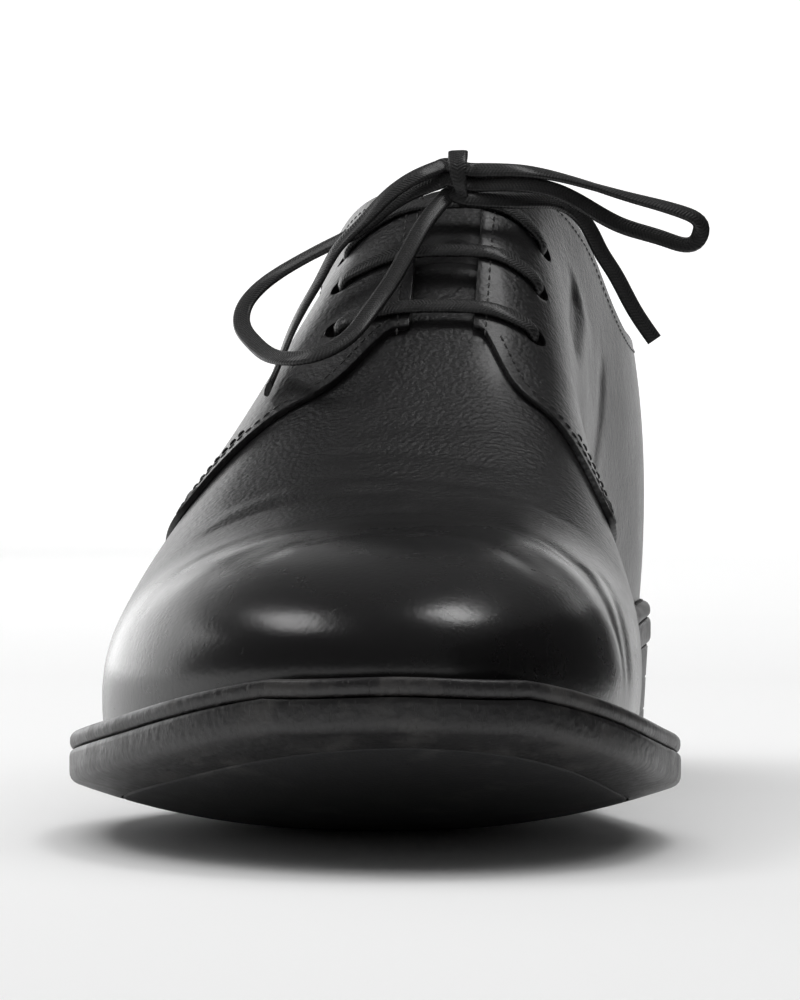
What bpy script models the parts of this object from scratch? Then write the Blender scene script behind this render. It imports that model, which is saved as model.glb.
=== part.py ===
"""A plain-toe derby shoe for the right foot, as the pieces that a shoemaker puts together.

The shoe stands on z = 0 with its toe towards -Y and its inner, medial side towards +X. Inside this script
a place on the shoe is a station (distance forward of the heel), a side way (towards medial) and a height,
all in millimetres. The origin is under the middle of the sole's outline.
"""

import bmesh
import bpy
import numpy as np

MM = 0.001

# Driving sizes in millimetres
SOLE_LENGTH = 298.0      # sole from the back of the heel to the tip of the toe
BALL_WIDTH = 106.0       # sole at the ball of the foot, welt included
INSTEP_HEIGHT = 100.0    # top of the instep above the floor, halfway along the sole
COLLAR_HEIGHT = 96.0     # top of the back seam above the floor
HEEL_HEIGHT = 26.0       # heel under the outsole, top piece included
TOE_SPRING = 23.0        # outsole above the floor at the tip of the toe
EDGE_RISE = 8.0          # outsole's edge above its middle at the ball
TREAD_DEPTH = 0.5        # how much of the forepart's curve is flattened where it stands
OUTSOLE = 5.2            # thickness of the outsole
WELT = 3.0               # thickness of the welt
WELT_REACH = 6.0         # welt outside the upper at the forepart
WELT_LAP = 5.0           # welt under the insole
INSOLE = 3.0             # thickness of the insole
INSOLE_PLAY = 0.6        # between the insole's edge and the wall
TOP_PIECE = 6.0          # rubber under the heel stack
HEEL_BREAST = 74.0       # station of the heel's front face
BREAST_HOLLOW = 5.0      # how far that face curves back in its middle
HEEL_INSET = 0.6         # heel stack inside the outsole's edge
HEEL_TAPER = 0.955       # heel's outline at the floor, as a share of its outline under the outsole
HEEL_CENTRE = 0.46       # point that it tapers to, as a share of the breast's station
INSERT = 2.4             # thickness of the rubber let into the forepart
INSERT_BORDER = 9.0      # leather left around the rubber
INSERT_START = 160.0     # station of the rubber's rear end
WALL = 1.9               # vamp and lining together
QUARTER = 1.2            # quarters, standing proud of the vamp
SWELL = 4.0              # how far the wall swells outside the feather edge
FACING_LENGTH = 32.5     # facings, from the throat to their tops
FACING_GAP = 11.4        # between the facings
TONGUE = 1.8             # thickness of the tongue
TONGUE_WIDTH = 44.0      # tongue at its top
TONGUE_NARROWING = 0.62  # its width at its root, as a share of that
TONGUE_PLAY = 0.4        # tongue under the facings' lining
TONGUE_UNDER = 12.5      # tongue under the vamp, forward of the throat
EYELET = 4.4             # diameter of the punched holes
EYELET_SETBACK = 11.7    # hole's centre from the facing's edge, sideways
EYELET_SKEW = 1.3        # lateral holes stand this much further out, medial ones this much further in
EYELETS_BEHIND = 3.5     # front pair behind the throat
EYELET_PITCH = 11.5      # from pair to pair along the shoe
EYELET_PAIRS = 3
LACE_WIDTH = 3.2
LACE_THICKNESS = 1.1
LACE_BEND = 1.3          # a bar's bend beside its eyelet
LACE_DIVE = 1.0          # a bar's end below the leather's surface
CORD = 2.2               # a lace's free run, drawn as a round cord of about its section
KNOT = (3.3, 3.6, 3.0)   # half sizes of the bow's knot: sideways, along the ridge and off it
KNOT_WAY = 1.8           # knot's middle, sideways of the ridge
CLEAR = 0.3              # between two pieces that touch

# Places along the form, as shares of the sole's length
THROAT_SHARE = 0.5487    # where the facings start
THROAT = THROAT_SHARE * SOLE_LENGTH
FACING_TOP = THROAT - FACING_LENGTH
TONGUE_ROOT = THROAT + TONGUE_UNDER

# Turning points of the form
TOE_REACH = 52.0         # the toe's sections turn about a point this far behind the tip
HEEL_REACH = 42.0        # the heel's sections turn about a point this far from the back
TURN_SOFTNESS = 9.0      # over which the sections start to turn
SHOULDER = np.radians(35)  # what lies beside the ridge is above this turn

# How finely the solids are faceted
QUARTER_COLUMNS = 15
CORNER_COLUMNS = 3
FACING_COLUMNS = 6
VAMP_COLUMNS = 14
UPPER_ROWS = 11
RIDGE_ROWS = 2
SOLE_STATIONS = 44
INSERT_STATIONS = 22
HEEL_STATIONS = 14
ARC_POINTS = 8
OUTSOLE_RINGS = (1.0, 0.84, 0.66, 0.3, 0.0)
INSERT_RINGS = (1.0, 0.7, 0.38, 0.0)
INSOLE_RINGS = (1.0, 0.6, 0.0)
AXIS_END = 8.0           # a plate's middle line stops this far inside its ends
CORD_STEP = 2.6          # diameters from point to point along a cord

# Welt outline: share of length, lateral and medial half widths as shares of the ball width
OUTLINE = [
    (0.000, 0.000, 0.000),
    (0.018, 0.160, 0.160),
    (0.070, 0.276, 0.278),
    (0.150, 0.320, 0.321),
    (0.260, 0.312, 0.300),
    (0.400, 0.318, 0.262),
    (0.520, 0.425, 0.290),
    (0.640, 0.535, 0.385),
    (0.740, 0.530, 0.440),
    (0.840, 0.455, 0.428),
    (0.915, 0.335, 0.380),
    (0.968, 0.185, 0.282),
    (1.000, -0.085, 0.085),
]

# Outsole's underside: share of length, share of the heel height, share of the toe spring, share of the edge rise
UNDERSIDE = [
    (0.00, 1.000, 0.000, 0.00),
    (0.10, 1.000, 0.000, 0.00),
    (0.22, 0.977, 0.000, 0.00),
    (0.32, 0.750, 0.000, 0.06),
    (0.44, 0.354, 0.000, 0.25),
    (0.54, 0.085, 0.000, 0.56),
    (0.62, 0.000, 0.000, 0.87),
    (0.70, 0.000, 0.030, 1.00),
    (0.80, 0.000, 0.218, 0.81),
    (0.90, 0.000, 0.530, 0.50),
    (1.00, 0.000, 1.000, 0.19),
]
RISE_POWER = 2.4

# Ridge of the last: share of length, side way as a share of the ball width, share of the instep height.
# Behind the facings it is only a guide for the walls, which the topline cuts off.
RIDGE = [
    (0.00, 0.000, 1.240),
    (0.13, 0.000, 1.255),
    (0.27, 0.000, 1.425),
    (0.345, 0.004, 1.360),
    (0.43, 0.012, 1.158),
    (0.465, 0.0135, 1.083),
    (0.50, 0.015, 0.998),
    (0.57, 0.019, 0.812),
    (0.64, 0.026, 0.672),
    (0.72, 0.036, 0.566),
    (0.80, 0.048, 0.524),
    (0.88, 0.062, 0.495),
    (1.00, 0.085, 0.445),
]

# Walls of the last: share of length, inset of the feather edge as a share of the welt's reach,
# swelling as a share of SWELL, squareness across and fullness upwards
LATERAL_WALL = [
    (0.00, 0.58, 0.65, 2.0, 2.0),
    (0.15, 0.58, 1.00, 2.0, 2.0),
    (0.30, 0.58, 0.90, 2.1, 1.9),
    (0.42, 0.67, 0.50, 2.2, 1.8),
    (0.52, 0.92, 0.90, 2.5, 1.9),
    (0.62, 1.00, 0.90, 2.7, 2.0),
    (0.72, 1.00, 0.75, 2.7, 2.2),
    (0.82, 0.97, 0.85, 2.75, 2.3),
    (1.00, 1.00, 0.50, 2.5, 2.3),
]
MEDIAL_WALL = [
    (0.00, 0.58, 0.65, 2.0, 2.0),
    (0.15, 0.58, 1.00, 2.0, 2.0),
    (0.30, 0.58, 0.90, 2.3, 1.9),
    (0.42, 0.58, 0.55, 3.2, 2.3),
    (0.52, 0.83, 0.95, 3.2, 2.2),
    (0.62, 1.17, 1.35, 3.1, 2.3),
    (0.72, 1.25, 1.00, 3.0, 2.4),
    (0.82, 1.17, 0.62, 2.8, 2.4),
    (1.00, 1.00, 0.50, 2.5, 2.3),
]

# Topline: share of the stretch from the heel to the facing's top, then its height on the lateral and medial sides
# as shares of the rise from the back seam's top to the facing's top
TOPLINE = [
    (0.00, 0.000, 0.000),
    (0.11, -0.141, -0.124),
    (0.22, -0.366, -0.327),
    (0.33, -0.619, -0.519),
    (0.44, -0.665, -0.534),
    (0.55, -0.506, -0.349),
    (0.64, -0.210, -0.030),
    (0.73, 0.206, 0.380),
    (0.82, 0.560, 0.665),
    (0.91, 0.835, 0.894),
    (1.00, 1.000, 1.000),
]

# Quarter's front edge: share of the quarter turn up from the feather edge, then how far it lies forward of the
# throat on the lateral and medial sides, as shares of the sole length
FRONT_EDGE = [
    (0.00, -0.050, -0.045),
    (0.12, -0.028, -0.020),
    (0.25, 0.006, 0.014),
    (0.36, 0.040, 0.050),
    (0.43, 0.060, 0.072),
    (0.49, 0.071, 0.084),
    (0.54, 0.068, 0.078),
    (0.59, 0.059, 0.066),
    (0.66, 0.049, 0.052),
    (0.76, 0.040, 0.043),
    (0.86, 0.028, 0.030),
    (0.93, 0.000, 0.000),
    (1.00, 0.000, 0.000),
]
EDGE_END = 0.93          # above this share the edge has reached the throat

# Free runs of the lace from the knot, as (station, side way, height) chosen by hand
LOOP_LEFT = [
    (144.2, -0.4, 113.6), (145.4, -5.5, 111.5), (146.5, -9.5, 109.0), (148.3, -15.0, 104.5), (148.0, -20.0, 102.0),
    (147.0, -26.0, 99.0), (148.0, -32.0, 95.0), (151.5, -35.0, 91.0), (156.0, -35.0, 87.5), (162.0, -32.5, 84.5),
    (168.5, -29.0, 82.0), (174.5, -24.5, 81.0), (177.0, -19.5, 81.5), (175.5, -14.5, 84.0), (170.0, -11.0, 88.5),
    (163.0, -7.5, 94.5), (156.5, -4.5, 101.0), (150.6, -2.0, 106.3), (144.8, 1.0, 110.8),
]
END_LEFT = [
    (143.5, -0.4, 116.3), (147.0, -4.5, 114.3), (149.2, -9.0, 111.0), (152.0, -13.5, 106.0), (154.0, -18.0, 101.0),
    (155.0, -21.0, 95.5), (156.0, -23.5, 91.0), (158.5, -25.5, 86.5), (162.0, -26.5, 83.0), (166.5, -27.5, 79.0),
    (171.0, -28.5, 75.5),
]
LOOP_RIGHT = [
    (142.5, 7.0, 115.8), (141.8, 15.5, 115.6), (138.0, 24.0, 114.0), (135.0, 34.5, 111.0), (133.0, 43.5, 108.5),
    (132.0, 47.0, 106.0), (132.0, 46.0, 103.0), (132.5, 40.5, 103.5), (134.0, 32.5, 106.0), (137.0, 26.0, 109.5),
    (140.3, 21.0, 112.0), (142.8, 15.0, 113.2), (143.1, 7.15, 113.15),
]
END_RIGHT = [
    (144.3, 6.3, 110.4), (141.5, 14.5, 110.2), (136.8, 20.5, 110.2), (134.2, 24.0, 108.5), (133.0, 26.5, 105.5),
    (132.3, 28.5, 101.5), (132.0, 31.0, 97.5), (132.0, 34.5, 91.0), (132.0, 38.5, 85.0),
]


def spline(knots, values, closed=False):
    """A natural or closed cubic spline through values at knots, as a function of the parameter."""
    x = np.asarray(knots, float)
    y = np.asarray(values, float)
    flat = y.ndim == 1
    y = y.reshape(len(x), -1)
    count = len(x)
    h = np.diff(x)
    slopes = np.diff(y, axis=0) / h[:, None]
    matrix = np.zeros((count, count))
    right_side = np.zeros((count, y.shape[1]))
    for i in range(1, count - 1):
        matrix[i, i - 1:i + 2] = h[i - 1], 2 * (h[i - 1] + h[i]), h[i]
        right_side[i] = 6 * (slopes[i] - slopes[i - 1])
    if closed:
        matrix[0, 0], matrix[0, -1] = 1, -1
        matrix[-1, 0], matrix[-1, 1] = 2 * (h[0] + h[-1]), h[0]
        matrix[-1, -2] = h[-1]
        right_side[-1] = 6 * (slopes[0] - slopes[-1])
    else:
        matrix[0, 0] = matrix[-1, -1] = 1
    bend = np.linalg.solve(matrix, right_side)

    def at(where, derivative=False):
        where = np.asarray(where, float)
        place = where.reshape(-1)
        if closed:
            place = x[0] + np.mod(place - x[0], x[-1] - x[0])
        i = np.clip(np.searchsorted(x, place, side="right") - 1, 0, count - 2)
        w = h[i][:, None]
        b = (place - x[i])[:, None]
        a = w - b
        if derivative:
            out = (bend[i + 1] * b**2 - bend[i] * a**2) / (2 * w) + slopes[i] - w * (bend[i + 1] - bend[i]) / 6
        else:
            out = (bend[i] * a**3 + bend[i + 1] * b**3) / (6 * w)
            out += (y[i] / w - bend[i] * w / 6) * a + (y[i + 1] / w - bend[i + 1] * w / 6) * b
        return out.reshape(where.shape) if flat else out.reshape(*where.shape, -1)

    return at


def columns(table):
    """One spline for each column of a table after its first, over the first."""
    rows = np.array(table, float)
    return [spline(rows[:, 0], rows[:, k]) for k in range(1, rows.shape[1])]


def welt_outline():
    """The welt's outline in (station, side way), running from the heel along the lateral side to the toe."""
    rows = np.array(OUTLINE)
    lateral = np.stack([rows[:, 0] * SOLE_LENGTH, -rows[:, 1] * BALL_WIDTH], 1)
    medial = np.stack([rows[:, 0] * SOLE_LENGTH, rows[:, 2] * BALL_WIDTH], 1)[::-1]
    points = np.concatenate([lateral, medial[1:]])
    steps = np.linalg.norm(np.diff(points, axis=0), axis=1)
    knots = np.concatenate([[0], np.cumsum(steps)])
    return spline(knots / knots[-1], points, closed=True)


WELT_LINE = welt_outline()
HEEL_SHARE, SPRING_SHARE, RISE_SHARE = columns(UNDERSIDE)
RIDGE_WAY, RIDGE_HEIGHT = columns(RIDGE)
LATERAL = columns(LATERAL_WALL)
MEDIAL = columns(MEDIAL_WALL)
TOPLINE_SIDES = columns(TOPLINE)
EDGE_SIDES = columns(FRONT_EDGE)

# The outline sampled finely, to find a place on it by its station
SAMPLES = np.linspace(0, 1, 4001)
SAMPLED = WELT_LINE(SAMPLES)
TIP_AT = int(np.argmax(SAMPLED[:, 0]))
TIP = SAMPLES[TIP_AT]
TOE_STATION = SAMPLED[TIP_AT, 0]
HEEL_AT = int(np.argmin(SAMPLED[:, 0]))
HEEL_STATION = SAMPLED[HEEL_AT, 0]
MIDDLE_WAY = (SAMPLED[:, 1].min() + SAMPLED[:, 1].max()) / 2
MIDDLE_STATION = (HEEL_STATION + TOE_STATION) / 2


def world(place):
    """(station, side way, height) as x, y, z in millimetres."""
    place = np.asarray(place, float)
    return np.stack([place[..., 1] - MIDDLE_WAY, MIDDLE_STATION - place[..., 0], place[..., 2]], -1)


def outline_at(side, station):
    """Parameter of the welt's outline at a station, on the lateral (-1) or medial (1) side."""
    lateral = np.interp(station, SAMPLED[:TIP_AT + 1, 0], SAMPLES[:TIP_AT + 1])
    medial = np.interp(station, SAMPLED[TIP_AT:, 0][::-1], SAMPLES[TIP_AT:][::-1])
    return np.where(np.asarray(side) < 0, lateral, medial)


def inset(at, distance):
    """A point of the welt's outline moved inwards by a distance."""
    along = WELT_LINE(at, derivative=True)
    along = along / np.linalg.norm(along, axis=-1, keepdims=True)
    inwards = np.stack([-along[..., 1], along[..., 0]], -1)
    return WELT_LINE(at) + inwards * np.asarray(distance)[..., None]


def underside(station, way):
    """Height of the outsole's underside: a curve along the shoe, raised by a power of the distance to its middle."""
    share = station / SOLE_LENGTH
    lateral = WELT_LINE(outline_at(-1, station))[..., 1]
    medial = WELT_LINE(outline_at(1, station))[..., 1]
    half = np.maximum((medial - lateral) / 2, 0.2 * BALL_WIDTH)
    off = np.abs(way - (lateral + medial) / 2) / half
    height = HEEL_HEIGHT * HEEL_SHARE(share) + TOE_SPRING * SPRING_SHARE(share)
    height = height + EDGE_RISE * np.maximum(RISE_SHARE(share), 0) * np.minimum(off, 1.2) ** RISE_POWER
    return np.maximum(height - TREAD_DEPTH, 0)


def feather_height(station, way):
    """Top of the welt, where the upper stands."""
    return underside(station, way) + OUTSOLE + CLEAR + WELT + CLEAR


def turned_station(station):
    """The ridge's station for a section: its own, held back softly in the toe and the heel."""
    s, low, high = TURN_SOFTNESS, HEEL_REACH, SOLE_LENGTH - TOE_REACH
    held = low + s * np.logaddexp(0, (station - low) / s)
    return high - s * np.logaddexp(0, (high - held) / s)


def wall_values(at, column):
    """A column of the wall tables at a place of the outline."""
    share = WELT_LINE(at)[..., 0] / SOLE_LENGTH
    return np.where(at < TIP, LATERAL[column](share), MEDIAL[column](share))


def form(at, turn):
    """A point of the vamp's outer surface, in (station, side way, height).

    A section runs from the feather edge to the ridge. Its distance from the ridge is a power of the turn's
    cosine, with a swelling of the double turn's sine, and its height is a power of the turn's sine.
    """
    at = np.mod(at, 1.0)
    reach, swell, square, full = (wall_values(at, column) for column in range(4))
    foot = inset(at, reach * WELT_REACH)
    station = turned_station(WELT_LINE(at)[..., 0])
    share = station / SOLE_LENGTH
    ridge = np.stack([station, RIDGE_WAY(share) * BALL_WIDTH], -1)
    run = foot - ridge
    length = np.linalg.norm(run, axis=-1)
    across = np.cos(turn) ** (2 / square) + swell * SWELL * np.sin(2 * turn) / length
    upward = np.sin(turn) ** (2 / full)
    flat = ridge + run * across[..., None]
    slope = RIDGE_HEIGHT(share, derivative=True) * INSTEP_HEIGHT / SOLE_LENGTH
    top = RIDGE_HEIGHT(share) * INSTEP_HEIGHT + slope * (flat[..., 0] - station)
    bottom = feather_height(foot[..., 0], foot[..., 1])
    return np.concatenate([flat, (bottom + (top - bottom) * upward)[..., None]], -1)


def outward(at, turn):
    """The surface's unit normal in world axes, from its differences; on the ridge it follows the ridge's slope."""
    step, swing = 2e-4, np.radians(0.5)
    held = np.clip(turn, swing, np.pi / 2 - 2 * swing)
    round_the_shoe = world(form(at + step, held)) - world(form(at - step, held))
    up_the_wall = world(form(at, held + swing)) - world(form(at, held - swing))
    normal = np.cross(round_the_shoe, up_the_wall)
    share = turned_station(WELT_LINE(np.mod(at, 1.0))[..., 0]) / SOLE_LENGTH
    slope = RIDGE_HEIGHT(share, derivative=True) * INSTEP_HEIGHT / SOLE_LENGTH
    on_ridge = np.stack([np.zeros_like(slope), slope, np.ones_like(slope)], -1)
    normal = normal / np.linalg.norm(normal, axis=-1, keepdims=True)
    on_ridge = on_ridge / np.linalg.norm(on_ridge, axis=-1, keepdims=True)
    near = np.clip((turn - np.radians(84)) / np.radians(6), 0, 1)[..., None]
    mixed = normal * (1 - near) + on_ridge * near
    return mixed / np.linalg.norm(mixed, axis=-1, keepdims=True)


def skin(at, turn, lift):
    """World place of the form's surface, lifted along its normal."""
    at, turn = np.broadcast_arrays(np.asarray(at, float), np.asarray(turn, float))
    return world(form(at, turn)) + outward(at, turn) * np.asarray(lift, float)[..., None]


def turn_where(at, reached, start=0.0):
    """The turn past a start at which a condition on the surface's point first holds, by bisection."""
    low = np.full_like(at, start)
    high = np.full_like(at, np.pi / 2)
    for _ in range(30):
        middle = (low + high) / 2
        done = reached(form(at, middle))
        low, high = np.where(done, low, middle), np.where(done, middle, high)
    return (low + high) / 2


def turn_beside_ridge(side, station, distance):
    """The turn at a distance sideways of the ridge."""
    way = RIDGE_WAY(turned_station(station) / SOLE_LENGTH) * BALL_WIDTH
    return turn_where(outline_at(side, station), lambda place: np.abs(place[..., 1] - way) < distance, SHOULDER)


def slot_turn(side, station):
    """The turn at a facing's edge."""
    return turn_beside_ridge(side, station, FACING_GAP / 2)


def topline_turn(side, station):
    """The turn at the topline, which ends level with the facing's top."""
    share = station / FACING_TOP
    end = np.array(FACING_TOP)
    facing_height = form(outline_at(side, end), slot_turn(side, end))[..., 2]
    rise = np.where(np.asarray(side) < 0, TOPLINE_SIDES[0](share), TOPLINE_SIDES[1](share))
    height = COLLAR_HEIGHT + (facing_height - COLLAR_HEIGHT) * rise
    return turn_where(outline_at(side, station), lambda place: place[..., 2] > height)


def front_edge_shift(side, turn):
    """How far forward of the throat the quarter's front edge lies at a turn."""
    share = np.asarray(turn) / (np.pi / 2)
    shift = np.where(np.asarray(side) < 0, EDGE_SIDES[0](share), EDGE_SIDES[1](share))
    return np.where(share > EDGE_END, 0.0, shift) * SOLE_LENGTH


def bent(side, station, turn):
    """Station of a mesh column at a turn. Columns bend with the quarter's front edge, fading to either side."""
    fore = np.clip((station - THROAT) / (TOE_STATION - TOE_REACH / 2 - THROAT), 0, 1)
    rear = np.clip((THROAT - station) / (THROAT - FACING_TOP), 0, 1)
    away = np.where(station > THROAT, fore, rear)
    return station + front_edge_shift(side, turn) * (1 - away * away * (3 - 2 * away))


def material(name, colour, roughness, metallic=0.0):
    made = bpy.data.materials.new(name)
    made.use_nodes = True
    shader = made.node_tree.nodes["Principled BSDF"]
    shader.inputs["Base Color"].default_value = (*colour, 1.0)
    shader.inputs["Roughness"].default_value = roughness
    shader.inputs["Metallic"].default_value = metallic
    return made


def put(name, points, faces, finish):
    """An object from points in millimetres, merged where they coincide, with sharp edges kept."""
    mesh = bpy.data.meshes.new(name)
    mesh.from_pydata((np.asarray(points, float) * MM).tolist(), [], [list(face) for face in faces])
    work = bmesh.new()
    work.from_mesh(mesh)
    bmesh.ops.remove_doubles(work, verts=work.verts, dist=2e-6)
    bmesh.ops.dissolve_degenerate(work, edges=work.edges, dist=1e-7)
    bmesh.ops.recalc_face_normals(work, faces=work.faces)
    work.to_mesh(mesh)
    work.free()
    mesh.shade_smooth()
    mesh.set_sharp_from_angle(angle=np.radians(40))
    mesh.materials.append(finish)
    made = bpy.data.objects.new(name, mesh)
    bpy.context.collection.objects.link(made)
    return made


def strip(first, second):
    """Faces between two rows of point numbers of equal length."""
    return [(first[i], first[i + 1], second[i + 1], second[i]) for i in range(len(first) - 1)]


def upper_columns():
    """Stations of the upper's mesh columns from the throat to the toe and from the throat to the heel."""
    fore = THROAT + (TOE_STATION - THROAT) * np.sin(np.linspace(0, np.pi / 2, VAMP_COLUMNS + 1))
    facing = np.linspace(THROAT, FACING_TOP, FACING_COLUMNS + 1)
    corner = FACING_TOP - (FACING_TOP * 0.08) * (np.arange(1, CORNER_COLUMNS + 1) / CORNER_COLUMNS) ** 1.5
    swept = 1 - np.sin(np.linspace(0, np.pi / 2, QUARTER_COLUMNS + 1))[1:]
    back = HEEL_STATION + (corner[-1] - HEEL_STATION) * swept
    return fore, np.concatenate([facing, corner, back])


def upper_grid():
    """Outline parameters and turns of the vamp's and the quarters' mesh, both running round the shoe one way."""
    fore, rear = upper_columns()
    rows = np.linspace(0, 1, UPPER_ROWS + 1)
    parts = {}
    for side in (-1, 1):
        throat_turn = slot_turn(side, np.array(THROAT))
        lower = rows * throat_turn
        higher = np.linspace(throat_turn, np.pi / 2, RIDGE_ROWS + 1)[1:]
        turn = np.broadcast_to(np.concatenate([lower, higher]), (len(fore), UPPER_ROWS + RIDGE_ROWS + 1))
        parts["vamp", side] = outline_at(side, bent(side, fore[:, None], turn)), turn
        top = np.where(rear >= FACING_TOP, slot_turn(side, rear), topline_turn(side, rear))
        turn = top[:, None] * rows
        parts["quarter", side] = outline_at(side, bent(side, rear[:, None], turn)), turn
    vamp = [np.concatenate([a, b[-2::-1]]) for a, b in zip(parts["vamp", -1], parts["vamp", 1])]
    quarter = [np.concatenate([a, b[-2::-1]]) for a, b in zip(parts["quarter", 1], parts["quarter", -1])]
    return vamp, quarter


def make_upper(finish):
    """Vamp and quarters in one hollow wall, with the quarters a step proud, open at collar, throat and underneath."""
    vamp, quarter = upper_grid()
    layers = [
        skin(*vamp, np.zeros(vamp[0].shape)),
        skin(*quarter, np.full(quarter[0].shape, QUARTER)),
        skin(*vamp, np.full(vamp[0].shape, -WALL)),
        skin(*quarter, np.full(quarter[0].shape, -WALL)),
    ]
    for layer in layers:
        # The bottom edge follows the welt that it stands on.
        layer[:, 0, 2] = feather_height(MIDDLE_STATION - layer[:, 0, 1], layer[:, 0, 0] + MIDDLE_WAY)
    points, index, count = [], [], 0
    for layer in layers:
        points.append(layer.reshape(-1, 3))
        index.append(count + np.arange(layer[..., 0].size).reshape(layer.shape[:2]))
        count += layer[..., 0].size
    vamp_out, quarter_out, vamp_in, quarter_in = index
    top = UPPER_ROWS
    outer = np.concatenate([vamp_out[:, :top + 1], quarter_out, vamp_out[:1, :top + 1]])
    inner = np.concatenate([vamp_in[:, :top + 1], quarter_in, vamp_in[:1, :top + 1]])
    faces = []
    for j in range(top):
        faces += strip(outer[:, j], outer[:, j + 1])
        faces += strip(inner[:, j + 1], inner[:, j])
    for j in range(top, top + RIDGE_ROWS):
        faces += strip(vamp_out[:, j], vamp_out[:, j + 1])
        faces += strip(vamp_in[:, j + 1], vamp_in[:, j])
    faces += strip(inner[:, 0], outer[:, 0])
    rim_out = np.concatenate([vamp_out[-1, top:][::-1], quarter_out[:, top], vamp_out[0, top:]])
    rim_in = np.concatenate([vamp_in[-1, top:][::-1], quarter_in[:, top], vamp_in[0, top:]])
    faces += strip(rim_out, rim_in)
    return put("upper", np.concatenate(points), faces, finish)


def eyelet_stations():
    return THROAT - EYELETS_BEHIND - EYELET_PITCH * np.arange(EYELET_PAIRS)


def eyelet_place(side, station):
    """Outline parameter and turn of a hole's centre."""
    station = np.asarray(station, float)
    return outline_at(side, station), turn_beside_ridge(side, station, FACING_GAP / 2 + EYELET_SETBACK - side * EYELET_SKEW)


def punch_eyelets(upper, finish):
    """Round holes through the facings, along the surface's normal."""
    points, faces = [], []
    sides = 12
    ring = np.arange(sides)
    angles = ring * 2 * np.pi / sides
    for side in (-1, 1):
        for station in eyelet_stations():
            at, turn = eyelet_place(side, station)
            centre = skin(at, turn, 0.0)
            axis = outward(at, turn)
            right = np.cross(axis, (0.0, 1.0, 0.0))
            right /= np.linalg.norm(right)
            ahead = np.cross(axis, right)
            circle = (np.cos(angles)[:, None] * right + np.sin(angles)[:, None] * ahead) * EYELET / 2
            first = len(points)
            points += list(centre + circle - axis * 2 * WALL) + list(centre + circle + axis * 3 * QUARTER)
            around = np.append(ring, 0)
            faces += strip(first + around, first + sides + around)
            faces += [tuple(first + ring[::-1]), tuple(first + sides + ring)]
    cutter = put("eyelet_punch", points, faces, finish)
    cut(upper, cutter)


def cut(target, cutter):
    cutter.hide_render = True
    cutter.display_type = "WIRE"
    tool = target.modifiers.new(cutter.name, "BOOLEAN")
    tool.operation = "DIFFERENCE"
    tool.object = cutter


def plate(name, boundary, rings, under, thickness, finish):
    """A plate inside a closed boundary of (station, side way), its underside at a given height field.

    The boundary's points come in pairs, the second half mirroring the first, and the plate's rings shrink
    towards the middles of the pairs.
    """
    partner = -np.arange(len(boundary)) % len(boundary)
    axis = (boundary + boundary[partner]) / 2
    axis[:, 0] = np.clip(axis[:, 0], boundary[:, 0].min() + AXIS_END, boundary[:, 0].max() - AXIS_END)
    flat = np.stack([axis + (boundary - axis) * ring for ring in rings])
    low = under(flat[..., 0], flat[..., 1])
    bottom = world(np.concatenate([flat, low[..., None]], -1))
    top = world(np.concatenate([flat, (low + thickness)[..., None]], -1))
    return slab(name, bottom, top, finish)


def slab(name, bottom, top, finish):
    """A closed solid from rings of points, outer ring first, below and above."""
    rings, count = bottom.shape[:2]
    low = np.arange(rings * count).reshape(rings, count)
    high = low + rings * count
    low = np.concatenate([low, low[:, :1]], 1)
    high = np.concatenate([high, high[:, :1]], 1)
    faces = []
    for i in range(rings - 1):
        faces += strip(low[i + 1], low[i])
        faces += strip(high[i], high[i + 1])
    faces += strip(low[0], high[0])
    return put(name, np.concatenate([bottom.reshape(-1, 3), top.reshape(-1, 3)]), faces, finish)


def ring_plate(name, lines, under, thickness, finish):
    """A flat ring through closed lines of equal count, from its outer edge to its inner one."""
    flat = np.stack(lines)
    low = under(flat[..., 0], flat[..., 1])
    bottom = world(np.concatenate([flat, low[..., None]], -1))
    top = world(np.concatenate([flat, (low + thickness)[..., None]], -1))
    rings, count = flat.shape[:2]
    low_index = np.arange(rings * count).reshape(rings, count)
    high_index = low_index + rings * count
    low_index = np.concatenate([low_index, low_index[:, :1]], 1)
    high_index = np.concatenate([high_index, high_index[:, :1]], 1)
    faces = strip(low_index[0], high_index[0]) + strip(high_index[-1], low_index[-1])
    for i in range(rings - 1):
        faces += strip(low_index[i + 1], low_index[i])
        faces += strip(high_index[i], high_index[i + 1])
    return put(name, np.concatenate([bottom.reshape(-1, 3), top.reshape(-1, 3)]), faces, finish)


def round_parameters(count=SOLE_STATIONS):
    """Outline parameters in lateral and medial pairs at equal stations, closed round the heel and the toe."""
    share = (1 - np.cos(np.linspace(0, np.pi, count + 1))) / 2
    station = HEEL_STATION + (TOE_STATION - HEEL_STATION) * share
    lateral = outline_at(-1, station)
    medial = outline_at(1, station)
    return np.concatenate([lateral, medial[-2:0:-1]])


def make_sole(leather_edge, rubber, board):
    at = round_parameters()
    welt_line = WELT_LINE(at)
    feather = wall_values(at, 0) * WELT_REACH
    outsole = plate("outsole", welt_line, OUTSOLE_RINGS, underside, OUTSOLE, leather_edge)
    welt_lines = [inset(at, distance) for distance in (0 * at, feather, feather + WALL, feather + WALL + WELT_LAP)]
    ring_plate("welt", welt_lines, lambda s, w: underside(s, w) + OUTSOLE + CLEAR, WELT, leather_edge)
    plate("insole", inset(at, feather + WALL + INSOLE_PLAY), INSOLE_RINGS, feather_height, INSOLE, board)
    insert_line = insert_outline(INSERT_BORDER)
    plate("forepart_insert", insert_line, INSERT_RINGS, underside, INSERT, rubber)
    recess = plate("insert_recess", insert_outline(INSERT_BORDER - CLEAR), INSERT_RINGS,
                   lambda s, w: underside(s, w) - INSERT, 2 * INSERT + CLEAR, rubber)
    cut(outsole, recess)


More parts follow.
